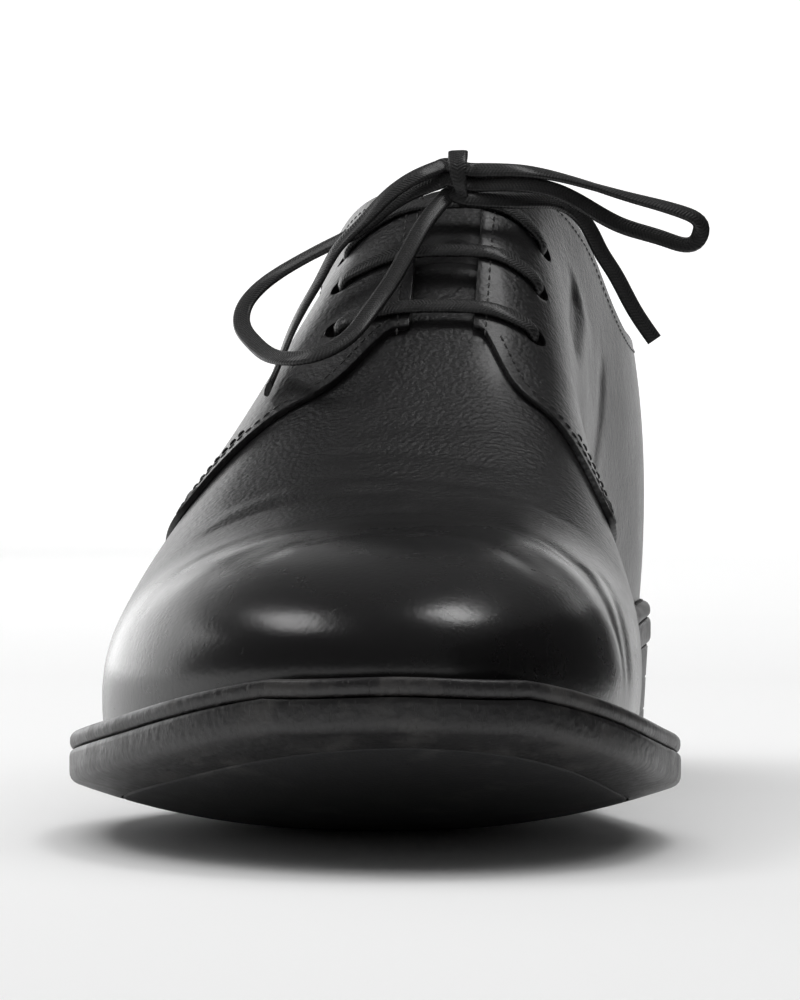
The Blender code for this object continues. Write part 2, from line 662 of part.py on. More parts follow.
def insert_outline(border):
    """The rubber's outline: the welt's, inset, and closed across by an arc at its rear end."""
    start = INSERT_START + border - INSERT_BORDER
    toe = inset(TIP, border)[0]
    share = (1 - np.cos(np.linspace(0, np.pi, INSERT_STATIONS + 1))) / 2
    station = start + (TOE_STATION - start) * share
    lateral = inset(outline_at(-1, station), border)
    medial = inset(outline_at(1, station), border)
    lateral[-1, 0] = medial[-1, 0] = toe
    middle = (lateral[0] + medial[0]) / 2
    across = np.linspace(0, 1, ARC_POINTS)[1:-1, None]
    arcs = []
    for corner in (lateral[0], medial[0]):
        arc = middle + (corner - middle) * across
        arc[:, :1] += BREAST_HOLLOW * (1 - across**2)
        arcs.append(arc)
    start_point = middle + (BREAST_HOLLOW, 0)
    return np.concatenate([[start_point], arcs[0], lateral, medial[-2::-1], arcs[1][::-1]])


def make_heel(stack_finish, rubber):
    """Heel stack and top piece, tapering a little, with a hollow breast."""
    share = (1 - np.cos(np.linspace(0, np.pi / 2, HEEL_STATIONS + 1)))
    station = HEEL_STATION + (HEEL_BREAST - HEEL_STATION) * share
    lateral = inset(outline_at(-1, station), HEEL_INSET)
    medial = inset(outline_at(1, station), HEEL_INSET)
    across = np.linspace(0, 1, ARC_POINTS)[1:-1, None]
    breast = lateral[-1] + (medial[-1] - lateral[-1]) * across
    half = (medial[-1, 1] - lateral[-1, 1]) / 2
    breast[:, 0] -= BREAST_HOLLOW * (1 - ((breast[:, 1] - breast[:, 1].mean()) / half) ** 2)
    line = np.concatenate([lateral, breast, medial[:0:-1]])
    centre = np.array([HEEL_BREAST * HEEL_CENTRE, 0.0])

    def level(shrink, height):
        """The heel's line drawn in towards its middle, at a height or under the outsole."""
        flat = centre + (line - centre) * shrink
        up = underside(flat[:, 0], flat[:, 1]) - CLEAR if height is None else np.full(len(flat), height)
        return world(np.concatenate([flat, up[:, None]], 1))

    joint = HEEL_TAPER + (1 - HEEL_TAPER) * TOP_PIECE / HEEL_HEIGHT
    for name, low, high, finish in (
        ("heel_top_piece", (HEEL_TAPER, 0.0), (joint, TOP_PIECE - CLEAR), rubber),
        ("heel_stack", (joint, TOP_PIECE), (1.0, None), stack_finish),
    ):
        rings_low = np.stack([level(low[0] * f, low[1]) for f in (1.0, 0.5)])
        rings_high = np.stack([level(high[0] * f, high[1]) for f in (1.0, 0.5)])
        closed_slab(name, rings_low, rings_high, finish)


def closed_slab(name, bottom, top, finish):
    """Like slab, with the innermost rings closed by fans to their middles."""
    bottom_mid = bottom[-1].mean(0)
    top_mid = top[-1].mean(0)
    bottom = np.concatenate([bottom, np.broadcast_to(bottom_mid, (1, *bottom[-1].shape))])
    top = np.concatenate([top, np.broadcast_to(top_mid, (1, *top[-1].shape))])
    return slab(name, bottom, top, finish)


def make_tongue(finish):
    """The tongue, a thin sheet under the facings from inside the vamp to the top of the facings."""
    stations = np.linspace(TONGUE_ROOT, FACING_TOP, 9)
    rows = np.linspace(0, 1, 7)
    halves = []
    for side in (-1, 1):
        at = outline_at(side, stations)
        share = (TONGUE_ROOT - stations) / (TONGUE_ROOT - FACING_TOP)
        low = turn_beside_ridge(side, stations, TONGUE_WIDTH / 2 * (TONGUE_NARROWING + (1 - TONGUE_NARROWING) * share))
        turn = low[:, None] + (np.pi / 2 - low[:, None]) * rows
        halves.append((np.broadcast_to(at[:, None], turn.shape), turn))
    at, turn = (np.concatenate([a, b[:, -2::-1]], 1) for a, b in zip(*halves))
    upper_face = skin(at, turn, np.full(at.shape, -WALL - TONGUE_PLAY))
    lower_face = skin(at, turn, np.full(at.shape, -WALL - TONGUE_PLAY - TONGUE))
    count = at.size
    high = np.arange(count).reshape(at.shape)
    low = high + count
    faces = []
    for i in range(at.shape[0] - 1):
        faces += strip(high[i], high[i + 1])
        faces += strip(low[i + 1], low[i])
    faces += strip(high[0], low[0]) + strip(low[-1], high[-1])
    faces += strip(low[:, 0], high[:, 0]) + strip(high[:, -1], low[:, -1])
    return put("tongue", np.concatenate([upper_face.reshape(-1, 3), lower_face.reshape(-1, 3)]), faces, finish)


def make_lace_bar(number, station, finish):
    """A flat lace bar: out of one eyelet, over the facing and the gap, and into the other eyelet."""
    over = bar_lift()
    dip = [
        (0.0, -LACE_DIVE),
        (0.0, QUARTER - CLEAR),
        (0.3 * LACE_BEND, over - 0.35 * LACE_BEND),
        (LACE_BEND, over),
    ]
    path = []
    for side in (-1, 1):
        at, hole = eyelet_place(side, station)
        edge = slot_turn(side, np.array(station))
        hole_place = skin(at, hole, 0.0)
        inwards = skin(at, hole + np.radians(1), 0.0) - hole_place
        inwards /= np.linalg.norm(inwards)
        axis = outward(at, hole)
        start = [hole_place + inwards * along + axis * lift for along, lift in dip]
        rest = [skin(at, turn, over) for turn in np.linspace(hole, edge, 5)[1:]]
        run = start + rest
        path += run if side < 0 else run[::-1]
    path = np.array(path)
    along = np.gradient(path, axis=0)
    along /= np.linalg.norm(along, axis=1, keepdims=True)
    rear, front = (skin(outline_at(1, station + off), np.pi / 2, 0.0) for off in (-LACE_WIDTH, LACE_WIDTH))
    slope = rear - front
    width_way = slope / np.linalg.norm(slope)
    widths = width_way - along * (along @ width_way)[:, None]
    widths /= np.linalg.norm(widths, axis=1, keepdims=True)
    thick = np.cross(widths, along)
    half_w, half_t = LACE_WIDTH / 2, LACE_THICKNESS / 2
    corners = np.stack([path + widths * a * half_w + thick * b * half_t
                        for a, b in ((-1, -1), (1, -1), (1, 1), (-1, 1))], 1)
    index = np.arange(len(path) * 4).reshape(-1, 4)
    closed = np.concatenate([index, index[:, :1]], 1)
    faces = []
    for i in range(len(path) - 1):
        faces += strip(closed[i], closed[i + 1])
    faces += [tuple(index[0][::-1]), tuple(index[-1])]
    return put(f"lace_bar_{number}", corners.reshape(-1, 3), faces, finish)


def make_cord(name, route, finish):
    """A free run of lace as a round tube along a smooth curve through its route's points."""
    route = np.array(route, float)
    steps = np.linalg.norm(np.diff(route, axis=0), axis=1)
    length = np.concatenate([[0], np.cumsum(steps)])
    curve = spline(length, route)
    count = int(round(length[-1] / (CORD_STEP * CORD)))
    points = world(curve(np.linspace(0, length[-1], count + 1))) * MM
    data = bpy.data.curves.new(name, "CURVE")
    data.dimensions = "3D"
    data.bevel_depth = CORD / 2 * MM
    data.bevel_resolution = 2
    data.use_fill_caps = True
    line = data.splines.new("POLY")
    line.points.add(len(points) - 1)
    line.points.foreach_set("co", np.concatenate([points, np.ones((len(points), 1))], 1).ravel())
    data.materials.append(finish)
    made = bpy.data.objects.new(name, data)
    bpy.context.collection.objects.link(made)
    return made


def bar_lift():
    """Middle of a lace bar above the vamp's surface, clear of the quarters."""
    return QUARTER + CLEAR + LACE_THICKNESS / 2


def make_knot(finish):
    """The bow's knot, a small rounded lump that sits on the rear bar."""
    station = eyelet_stations()[-1]
    at = outline_at(1, station)
    off = outward(at, np.pi / 2)
    sideways = np.array([1.0, 0.0, 0.0])
    along = np.cross(off, sideways)
    lift = bar_lift() + LACE_THICKNESS / 2 + CLEAR + KNOT[2]
    centre = skin(at, np.pi / 2, lift) + sideways * KNOT_WAY
    turns = np.linspace(0, 2 * np.pi, 13)[:-1]
    rises = np.linspace(-np.pi / 2, np.pi / 2, 8)
    rounded = np.stack([
        np.outer(np.sin(rises), np.ones(len(turns))),
        np.outer(np.cos(rises), np.cos(turns)),
        np.outer(np.cos(rises), np.sin(turns)),
    ], -1)
    points = centre + (rounded * KNOT) @ np.stack([sideways, along, off])
    index = np.arange(points[..., 0].size).reshape(points.shape[:2])
    index = np.concatenate([index, index[:, :1]], 1)
    faces = []
    for i in range(len(rises) - 1):
        faces += strip(index[i], index[i + 1])
    return put("lace_knot", points.reshape(-1, 3), faces, finish)


def main():
    for old in list(bpy.data.objects):
        bpy.data.objects.remove(old)
    calf = material("black_calf", (0.012, 0.011, 0.012), 0.28)
    lining = material("tongue_leather", (0.02, 0.018, 0.018), 0.45)
    board = material("insole_leather", (0.25, 0.17, 0.11), 0.6)
    edge = material("sole_edge", (0.016, 0.015, 0.015), 0.35)
    rubber = material("sole_rubber", (0.02, 0.02, 0.022), 0.7)
    lace = material("waxed_lace", (0.02, 0.019, 0.019), 0.5)
    upper = make_upper(calf)
    punch_eyelets(upper, calf)
    make_tongue(lining)
    make_sole(edge, rubber, board)
    make_heel(edge, rubber)
    for number, station in enumerate(eyelet_stations(), 1):
        make_lace_bar(number, station, lace)
    make_knot(lace)
    for name, route in (
        ("lace_loop_left", LOOP_LEFT),
        ("lace_end_left", END_LEFT),
        ("lace_loop_right", LOOP_RIGHT),
        ("lace_end_right", END_RIGHT),
    ):
        make_cord(name, route, lace)


main()
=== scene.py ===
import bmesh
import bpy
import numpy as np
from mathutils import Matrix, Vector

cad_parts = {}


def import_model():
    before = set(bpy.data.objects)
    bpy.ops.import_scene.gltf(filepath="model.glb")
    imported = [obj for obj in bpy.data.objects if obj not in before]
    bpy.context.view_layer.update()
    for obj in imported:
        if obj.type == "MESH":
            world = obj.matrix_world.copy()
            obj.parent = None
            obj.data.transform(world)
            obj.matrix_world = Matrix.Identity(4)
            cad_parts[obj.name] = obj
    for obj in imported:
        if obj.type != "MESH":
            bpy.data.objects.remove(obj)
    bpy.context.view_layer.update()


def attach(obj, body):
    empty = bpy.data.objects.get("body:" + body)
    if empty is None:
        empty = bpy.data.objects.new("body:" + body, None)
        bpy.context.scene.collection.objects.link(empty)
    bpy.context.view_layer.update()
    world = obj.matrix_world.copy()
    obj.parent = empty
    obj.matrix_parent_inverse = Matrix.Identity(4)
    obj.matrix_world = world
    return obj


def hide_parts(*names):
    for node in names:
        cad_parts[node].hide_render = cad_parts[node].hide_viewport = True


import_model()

# A black plain-toe derby shoe for the right foot: its surfaces, finishes, light and camera.
# A place on the shoe is a station (forward of the heel), a side way (towards medial) and a height, all in
# millimetres.

MM = 0.001

# The construction's own sizes in millimetres
SOLE_LENGTH = 298.0      # sole from the back of the heel to the tip of the toe
BALL_WIDTH = 106.0       # sole at the ball of the foot, welt included
INSTEP_HEIGHT = 100.0    # top of the instep above the floor, halfway along the sole
COLLAR_HEIGHT = 96.0     # top of the back seam above the floor
HEEL_HEIGHT = 26.0       # heel under the outsole, top piece included
TOE_SPRING = 23.0        # outsole above the floor at the tip of the toe
EDGE_RISE = 8.0          # outsole's edge above its middle at the ball
TREAD_DEPTH = 0.5        # how much of the forepart's curve is flattened where it stands
OUTSOLE = 5.2            # thickness of the outsole
WELT = 3.0               # thickness of the welt
WELT_REACH = 6.0         # welt outside the upper at the forepart
WELT_LAP = 5.0           # welt under the insole
INSOLE = 3.0             # thickness of the insole
INSOLE_PLAY = 0.6        # between the insole's edge and the wall
TOP_PIECE = 6.0          # rubber under the heel stack
HEEL_BREAST = 74.0       # station of the heel's front face
BREAST_HOLLOW = 5.0      # how far that face curves back in its middle
HEEL_INSET = 0.6         # heel stack inside the outsole's edge
HEEL_TAPER = 0.955       # heel's outline at the floor, as a share of its outline under the outsole
HEEL_CENTRE = 0.46       # point that it tapers to, as a share of the breast's station
INSERT = 2.4             # thickness of the rubber let into the forepart
INSERT_BORDER = 9.0      # leather left around the rubber
INSERT_START = 160.0     # station of the rubber's rear end
WALL = 1.9               # vamp and lining together
QUARTER = 1.2            # quarters, standing proud of the vamp
SWELL = 4.0              # how far the wall swells outside the feather edge
FACING_LENGTH = 32.5     # facings, from the throat to their tops
FACING_GAP = 11.4        # between the facings
TONGUE = 1.8             # thickness of the tongue
TONGUE_WIDTH = 44.0      # tongue at its top
TONGUE_NARROWING = 0.62  # its width at its root, as a share of that
TONGUE_UNDER = 12.5      # tongue under the vamp, forward of the throat
EYELET = 4.4             # diameter of the punched holes
EYELET_SETBACK = 11.7    # hole's centre from the facing's edge, sideways
EYELET_SKEW = 1.3        # lateral holes stand this much further out, medial ones this much further in
EYELETS_BEHIND = 3.5     # front pair behind the throat
EYELET_PITCH = 11.5      # from pair to pair along the shoe
EYELET_PAIRS = 3
LACE_WIDTH = 3.2
LACE_THICKNESS = 1.1
KNOT = (3.3, 3.6, 3.0)   # half sizes of the bow's knot: sideways, along the ridge and off it
KNOT_WAY = 1.8           # knot's middle, sideways of the ridge
CLEAR = 0.3              # between two pieces that touch
AXIS_END = 8.0           # a plate's middle line stops this far inside its ends

# Places along the form, as shares of the sole's length
THROAT_SHARE = 0.5487    # where the facings start
THROAT = THROAT_SHARE * SOLE_LENGTH
FACING_TOP = THROAT - FACING_LENGTH
TONGUE_ROOT = THROAT + TONGUE_UNDER

# Turning points of the form
TOE_REACH = 52.0         # the toe's sections turn about a point this far behind the tip
HEEL_REACH = 42.0        # the heel's sections turn about a point this far from the back
TURN_SOFTNESS = 9.0      # over which the sections start to turn
SHOULDER = np.radians(35)  # what lies beside the ridge is above this turn


# Welt outline: share of length, lateral and medial half widths as shares of the ball width
OUTLINE = [
    (0.000, 0.000, 0.000),
    (0.018, 0.160, 0.160),
    (0.070, 0.276, 0.278),
    (0.150, 0.320, 0.321),
    (0.260, 0.312, 0.300),
    (0.400, 0.318, 0.262),
    (0.520, 0.425, 0.290),
    (0.640, 0.535, 0.385),
    (0.740, 0.530, 0.440),
    (0.840, 0.455, 0.428),
    (0.915, 0.335, 0.380),
    (0.968, 0.185, 0.282),
    (1.000, -0.085, 0.085),
]

# Outsole's underside: share of length, then shares of the heel height, the toe spring and the edge rise
UNDERSIDE = [
    (0.00, 1.000, 0.000, 0.00),
    (0.10, 1.000, 0.000, 0.00),
    (0.22, 0.977, 0.000, 0.00),
    (0.32, 0.750, 0.000, 0.06),
    (0.44, 0.354, 0.000, 0.25),
    (0.54, 0.085, 0.000, 0.56),
    (0.62, 0.000, 0.000, 0.87),
    (0.70, 0.000, 0.030, 1.00),
    (0.80, 0.000, 0.218, 0.81),
    (0.90, 0.000, 0.530, 0.50),
    (1.00, 0.000, 1.000, 0.19),
]
RISE_POWER = 2.4

# Ridge of the last: share of length, side way as a share of the ball width, share of the instep height.
# Behind the facings it is only a guide for the walls, which the topline cuts off.
RIDGE = [
    (0.00, 0.000, 1.240),
    (0.13, 0.000, 1.255),
    (0.27, 0.000, 1.425),
    (0.345, 0.004, 1.360),
    (0.43, 0.012, 1.158),
    (0.465, 0.0135, 1.083),
    (0.50, 0.015, 0.998),
    (0.57, 0.019, 0.812),
    (0.64, 0.026, 0.672),
    (0.72, 0.036, 0.566),
    (0.80, 0.048, 0.524),
    (0.88, 0.062, 0.495),
    (1.00, 0.085, 0.445),
]

# Walls of the last: share of length, inset of the feather edge as a share of the welt's reach,
# swelling as a share of SWELL, squareness across and fullness upwards
LATERAL_WALL = [
    (0.00, 0.58, 0.65, 2.0, 2.0),
    (0.15, 0.58, 1.00, 2.0, 2.0),
    (0.30, 0.58, 0.90, 2.1, 1.9),
    (0.42, 0.67, 0.50, 2.2, 1.8),
    (0.52, 0.92, 0.90, 2.5, 1.9),
    (0.62, 1.00, 0.90, 2.7, 2.0),
    (0.72, 1.00, 0.75, 2.7, 2.2),
    (0.82, 0.97, 0.85, 2.75, 2.3),
    (1.00, 1.00, 0.50, 2.5, 2.3),
]
MEDIAL_WALL = [
    (0.00, 0.58, 0.65, 2.0, 2.0),
    (0.15, 0.58, 1.00, 2.0, 2.0),
    (0.30, 0.58, 0.90, 2.3, 1.9),
    (0.42, 0.58, 0.55, 3.2, 2.3),
    (0.52, 0.83, 0.95, 3.2, 2.2),
    (0.62, 1.17, 1.35, 3.1, 2.3),
    (0.72, 1.25, 1.00, 3.0, 2.4),
    (0.82, 1.17, 0.62, 2.8, 2.4),
    (1.00, 1.00, 0.50, 2.5, 2.3),
]

# Topline: share of the stretch from the heel to the facing's top, then its height on the lateral and medial
# sides as shares of the rise from the back seam's top to the facing's top
TOPLINE = [
    (0.00, 0.000, 0.000),
    (0.11, -0.141, -0.124),
    (0.22, -0.366, -0.327),
    (0.33, -0.619, -0.519),
    (0.44, -0.665, -0.534),
    (0.55, -0.506, -0.349),
    (0.64, -0.210, -0.030),
    (0.73, 0.206, 0.380),
    (0.82, 0.560, 0.665),
    (0.91, 0.835, 0.894),
    (1.00, 1.000, 1.000),
]

# Quarter's front edge: share of the quarter turn up from the feather edge, then how far it lies forward of
# the throat on the lateral and medial sides, as shares of the sole length
FRONT_EDGE = [
    (0.00, -0.050, -0.045),
    (0.12, -0.028, -0.020),
    (0.25, 0.006, 0.014),
    (0.36, 0.040, 0.050),
    (0.43, 0.060, 0.072),
    (0.49, 0.071, 0.084),
    (0.54, 0.068, 0.078),
    (0.59, 0.059, 0.066),
    (0.66, 0.049, 0.052),
    (0.76, 0.040, 0.043),
    (0.86, 0.028, 0.030),
    (0.93, 0.000, 0.000),
    (1.00, 0.000, 0.000),
]
EDGE_END = 0.93          # above this share the edge has reached the throat

# Free runs of the lace from the knot, as (station, side way, height)
LOOP_LEFT = [
    (144.2, -0.4, 113.6), (145.4, -5.5, 111.5), (146.5, -9.5, 109.0), (148.3, -15.0, 104.5),
    (148.0, -20.0, 102.0), (147.0, -26.0, 99.0), (148.0, -32.0, 95.0), (151.5, -35.0, 91.0),
    (156.0, -35.0, 87.5), (162.0, -32.5, 84.5), (168.5, -29.0, 82.0), (174.5, -24.5, 81.0),
    (177.0, -19.5, 81.5), (175.5, -14.5, 84.0), (170.0, -11.0, 88.5), (163.0, -7.5, 94.5),
    (156.5, -4.5, 101.0), (150.6, -2.0, 106.3), (144.8, 1.0, 110.8),
]
END_LEFT = [
    (143.5, -0.4, 116.3), (147.0, -4.5, 114.3), (149.2, -9.0, 111.0), (152.0, -13.5, 106.0),
    (154.0, -18.0, 101.0), (155.0, -21.0, 95.5), (156.0, -23.5, 91.0), (158.5, -25.5, 86.5),
    (162.0, -26.5, 83.0), (166.5, -27.5, 79.0), (171.0, -28.5, 75.5),
]
LOOP_RIGHT = [
    (142.5, 7.0, 115.8), (141.8, 15.5, 115.6), (138.0, 24.0, 114.0), (135.0, 34.5, 111.0),
    (133.0, 43.5, 108.5), (132.0, 47.0, 106.0), (132.0, 46.0, 103.0), (132.5, 40.5, 103.5),
    (134.0, 32.5, 106.0), (137.0, 26.0, 109.5), (140.3, 21.0, 112.0), (142.8, 15.0, 113.2),
    (143.1, 7.15, 113.15),
]
END_RIGHT = [
    (144.3, 6.3, 110.4), (141.5, 14.5, 110.2), (136.8, 20.5, 110.2), (134.2, 24.0, 108.5),
    (133.0, 26.5, 105.5), (132.3, 28.5, 101.5), (132.0, 31.0, 97.5), (132.0, 34.5, 91.0),
    (132.0, 38.5, 85.0),
]


# The last's curves, as functions

def spline(knots, values, closed=False):
    """A natural or closed cubic spline through values at knots, as a function of the parameter."""
    x = np.asarray(knots, float)
    y = np.asarray(values, float)
    flat = y.ndim == 1
    y = y.reshape(len(x), -1)
    count = len(x)
    h = np.diff(x)
    slopes = np.diff(y, axis=0) / h[:, None]
    matrix = np.zeros((count, count))
    right_side = np.zeros((count, y.shape[1]))
    for i in range(1, count - 1):
        matrix[i, i - 1:i + 2] = h[i - 1], 2 * (h[i - 1] + h[i]), h[i]
        right_side[i] = 6 * (slopes[i] - slopes[i - 1])
    if closed:
        matrix[0, 0], matrix[0, -1] = 1, -1
        matrix[-1, 0], matrix[-1, 1] = 2 * (h[0] + h[-1]), h[0]
        matrix[-1, -2] = h[-1]
        right_side[-1] = 6 * (slopes[0] - slopes[-1])
    else:
        matrix[0, 0] = matrix[-1, -1] = 1
    bend = np.linalg.solve(matrix, right_side)

    def at(where, derivative=False):
        """The curve, or its slope, at one or more parameters."""
        where = np.asarray(where, float)
        place = where.reshape(-1)
        if closed:
            place = x[0] + np.mod(place - x[0], x[-1] - x[0])
        i = np.clip(np.searchsorted(x, place, side="right") - 1, 0, count - 2)
        w = h[i][:, None]
        b = (place - x[i])[:, None]
        a = w - b
        if derivative:
            out = (bend[i + 1] * b**2 - bend[i] * a**2) / (2 * w) + slopes[i]
            out = out - w * (bend[i + 1] - bend[i]) / 6
        else:
            out = (bend[i] * a**3 + bend[i + 1] * b**3) / (6 * w)
            out += (y[i] / w - bend[i] * w / 6) * a + (y[i + 1] / w - bend[i + 1] * w / 6) * b
        return out.reshape(where.shape) if flat else out.reshape(*where.shape, -1)

    return at


def columns(table):
    """One spline for each column of a table after its first, over the first."""
    rows = np.array(table, float)
    return [spline(rows[:, 0], rows[:, k]) for k in range(1, rows.shape[1])]


def welt_outline():
    """The welt's outline in (station, side way), running from the heel along the lateral side to the toe."""
    rows = np.array(OUTLINE)
    lateral = np.stack([rows[:, 0] * SOLE_LENGTH, -rows[:, 1] * BALL_WIDTH], 1)
    medial = np.stack([rows[:, 0] * SOLE_LENGTH, rows[:, 2] * BALL_WIDTH], 1)[::-1]
    points = np.concatenate([lateral, medial[1:]])
    steps = np.linalg.norm(np.diff(points, axis=0), axis=1)
    knots = np.concatenate([[0], np.cumsum(steps)])
    return spline(knots / knots[-1], points, closed=True)


WELT_LINE = welt_outline()
HEEL_SHARE, SPRING_SHARE, RISE_SHARE = columns(UNDERSIDE)
RIDGE_WAY, RIDGE_HEIGHT = columns(RIDGE)
LATERAL = columns(LATERAL_WALL)
MEDIAL = columns(MEDIAL_WALL)
TOPLINE_SIDES = columns(TOPLINE)
EDGE_SIDES = columns(FRONT_EDGE)

# The outline sampled finely, to find a place on it by its station
SAMPLES = np.linspace(0, 1, 4001)
SAMPLED = WELT_LINE(SAMPLES)
TIP_AT = int(np.argmax(SAMPLED[:, 0]))
TIP = SAMPLES[TIP_AT]
TOE_STATION = SAMPLED[TIP_AT, 0]
HEEL_AT = int(np.argmin(SAMPLED[:, 0]))
HEEL_STATION = SAMPLED[HEEL_AT, 0]
MIDDLE_WAY = (SAMPLED[:, 1].min() + SAMPLED[:, 1].max()) / 2
MIDDLE_STATION = (HEEL_STATION + TOE_STATION) / 2


def world(place):
    """(station, side way, height) as x, y, z in millimetres."""
    place = np.asarray(place, float)
    return np.stack([place[..., 1] - MIDDLE_WAY, MIDDLE_STATION - place[..., 0], place[..., 2]], -1)


def outline_at(side, station):
    """Parameter of the welt's outline at a station, on the lateral (-1) or medial (1) side."""
    lateral = np.interp(station, SAMPLED[:TIP_AT + 1, 0], SAMPLES[:TIP_AT + 1])
    medial = np.interp(station, SAMPLED[TIP_AT:, 0][::-1], SAMPLES[TIP_AT:][::-1])
    return np.where(np.asarray(side) < 0, lateral, medial)


def inset(at, distance):
    """A point of the welt's outline moved inwards by a distance."""
    along = WELT_LINE(at, derivative=True)
    along = along / np.linalg.norm(along, axis=-1, keepdims=True)
    inwards = np.stack([-along[..., 1], along[..., 0]], -1)
    return WELT_LINE(at) + inwards * np.asarray(distance)[..., None]


def underside(station, way):
    """Outsole's underside: a curve along the shoe, raised by a power of the distance to its middle."""
    share = station / SOLE_LENGTH
    lateral = WELT_LINE(outline_at(-1, station))[..., 1]
    medial = WELT_LINE(outline_at(1, station))[..., 1]
    half = np.maximum((medial - lateral) / 2, 0.2 * BALL_WIDTH)
    off = np.abs(way - (lateral + medial) / 2) / half
    height = HEEL_HEIGHT * HEEL_SHARE(share) + TOE_SPRING * SPRING_SHARE(share)
    height = height + EDGE_RISE * np.maximum(RISE_SHARE(share), 0) * np.minimum(off, 1.2) ** RISE_POWER
    return np.maximum(height - TREAD_DEPTH, 0)


def feather_height(station, way):
    """Top of the welt, where the upper stands."""
    return underside(station, way) + OUTSOLE + CLEAR + WELT + CLEAR


def turned_station(station):
    """The ridge's station for a section: its own, held back softly in the toe and the heel."""
    s, low, high = TURN_SOFTNESS, HEEL_REACH, SOLE_LENGTH - TOE_REACH
    held = low + s * np.logaddexp(0, (station - low) / s)
    return high - s * np.logaddexp(0, (high - held) / s)


def wall_values(at, column):
    """A column of the wall tables at a place of the outline."""
    share = WELT_LINE(at)[..., 0] / SOLE_LENGTH
    return np.where(at < TIP, LATERAL[column](share), MEDIAL[column](share))


def form(at, turn):
    """A point of the vamp's outer surface, in (station, side way, height).

    A section runs from the feather edge to the ridge. Its distance from the ridge is a power of the turn's
    cosine, with a swelling of the double turn's sine, and its height is a power of the turn's sine.
    """
    at = np.mod(at, 1.0)
    reach, swell, square, full = (wall_values(at, column) for column in range(4))
    foot = inset(at, reach * WELT_REACH)
    station = turned_station(WELT_LINE(at)[..., 0])
    share = station / SOLE_LENGTH
    ridge = np.stack([station, RIDGE_WAY(share) * BALL_WIDTH], -1)
    run = foot - ridge
    length = np.linalg.norm(run, axis=-1)
    across = np.maximum(np.cos(turn), 0) ** (2 / square) + swell * SWELL * np.sin(2 * turn) / length
    upward = np.sin(turn) ** (2 / full)
    flat = ridge + run * across[..., None]
    slope = RIDGE_HEIGHT(share, derivative=True) * INSTEP_HEIGHT / SOLE_LENGTH
    top = RIDGE_HEIGHT(share) * INSTEP_HEIGHT + slope * (flat[..., 0] - station)
    bottom = feather_height(foot[..., 0], foot[..., 1])
    return np.concatenate([flat, (bottom + (top - bottom) * upward)[..., None]], -1)


def outward(at, turn):
    """Unit normal in world axes, from differences; on the ridge it follows the ridge's slope."""
    step, swing = 2e-4, np.radians(0.5)
    held = np.clip(turn, swing, np.pi / 2 - 2 * swing)
    round_the_shoe = world(form(at + step, held)) - world(form(at - step, held))
    up_the_wall = world(form(at, held + swing)) - world(form(at, held - swing))
    normal = np.cross(round_the_shoe, up_the_wall)
    share = turned_station(WELT_LINE(np.mod(at, 1.0))[..., 0]) / SOLE_LENGTH
    slope = RIDGE_HEIGHT(share, derivative=True) * INSTEP_HEIGHT / SOLE_LENGTH
    on_ridge = np.stack([np.zeros_like(slope), slope, np.ones_like(slope)], -1)
    normal = normal / np.linalg.norm(normal, axis=-1, keepdims=True)
    on_ridge = on_ridge / np.linalg.norm(on_ridge, axis=-1, keepdims=True)
    near = np.clip((turn - np.radians(84)) / np.radians(6), 0, 1)[..., None]
    mixed = normal * (1 - near) + on_ridge * near
    return mixed / np.linalg.norm(mixed, axis=-1, keepdims=True)


def skin(at, turn, lift):
    """World place of the form's surface, lifted along its normal."""
    at, turn = np.broadcast_arrays(np.asarray(at, float), np.asarray(turn, float))
    return world(form(at, turn)) + outward(at, turn) * np.asarray(lift, float)[..., None]


def turn_where(at, reached, start=0.0):
    """The turn past a start at which a condition on the surface's point first holds, by bisection."""
    low = np.full_like(at, start)
    high = np.full_like(at, np.pi / 2)
    for _ in range(30):
        middle = (low + high) / 2
        done = reached(form(at, middle))
        low, high = np.where(done, low, middle), np.where(done, middle, high)
    return (low + high) / 2


def turn_beside_ridge(side, station, distance):
    """The turn at a distance sideways of the ridge."""
    way = RIDGE_WAY(turned_station(station) / SOLE_LENGTH) * BALL_WIDTH
    at = outline_at(side, station)
    return turn_where(at, lambda place: np.abs(place[..., 1] - way) < distance, SHOULDER)


def slot_turn(side, station):
    """The turn at a facing's edge."""
    return turn_beside_ridge(side, station, FACING_GAP / 2)


def topline_turn(side, station):
    """The turn at the topline, which ends level with the facing's top."""
    share = station / FACING_TOP
    end = np.array(FACING_TOP)
    facing_height = form(outline_at(side, end), slot_turn(side, end))[..., 2]
    rise = np.where(np.asarray(side) < 0, TOPLINE_SIDES[0](share), TOPLINE_SIDES[1](share))
    height = COLLAR_HEIGHT + (facing_height - COLLAR_HEIGHT) * rise
    return turn_where(outline_at(side, station), lambda place: place[..., 2] > height)


def front_edge_shift(side, turn):
    """How far forward of the throat the quarter's front edge lies at a turn."""
    share = np.asarray(turn) / (np.pi / 2)
    shift = np.where(np.asarray(side) < 0, EDGE_SIDES[0](share), EDGE_SIDES[1](share))
    return np.where(share > EDGE_END, 0.0, shift) * SOLE_LENGTH


def bent(side, station, turn):
    """Station of a mesh column at a turn. Columns bend with the quarter's front edge."""
    fore = np.clip((station - THROAT) / (TOE_STATION - TOE_REACH / 2 - THROAT), 0, 1)
    rear = np.clip((THROAT - station) / (THROAT - FACING_TOP), 0, 1)
    away = np.where(station > THROAT, fore, rear)
    return station + front_edge_shift(side, turn) * (1 - away * away * (3 - 2 * away))


def on_surface(side, station, turn, lift):
    """World place and outward normal at a station and a turn of one side, lifted along the normal."""
    at, turn = np.broadcast_arrays(outline_at(side, np.asarray(station, float)), np.asarray(turn, float))
    normal = outward(at, turn)
    return world(form(at, turn)) + normal * np.asarray(lift, float)[..., None], normal


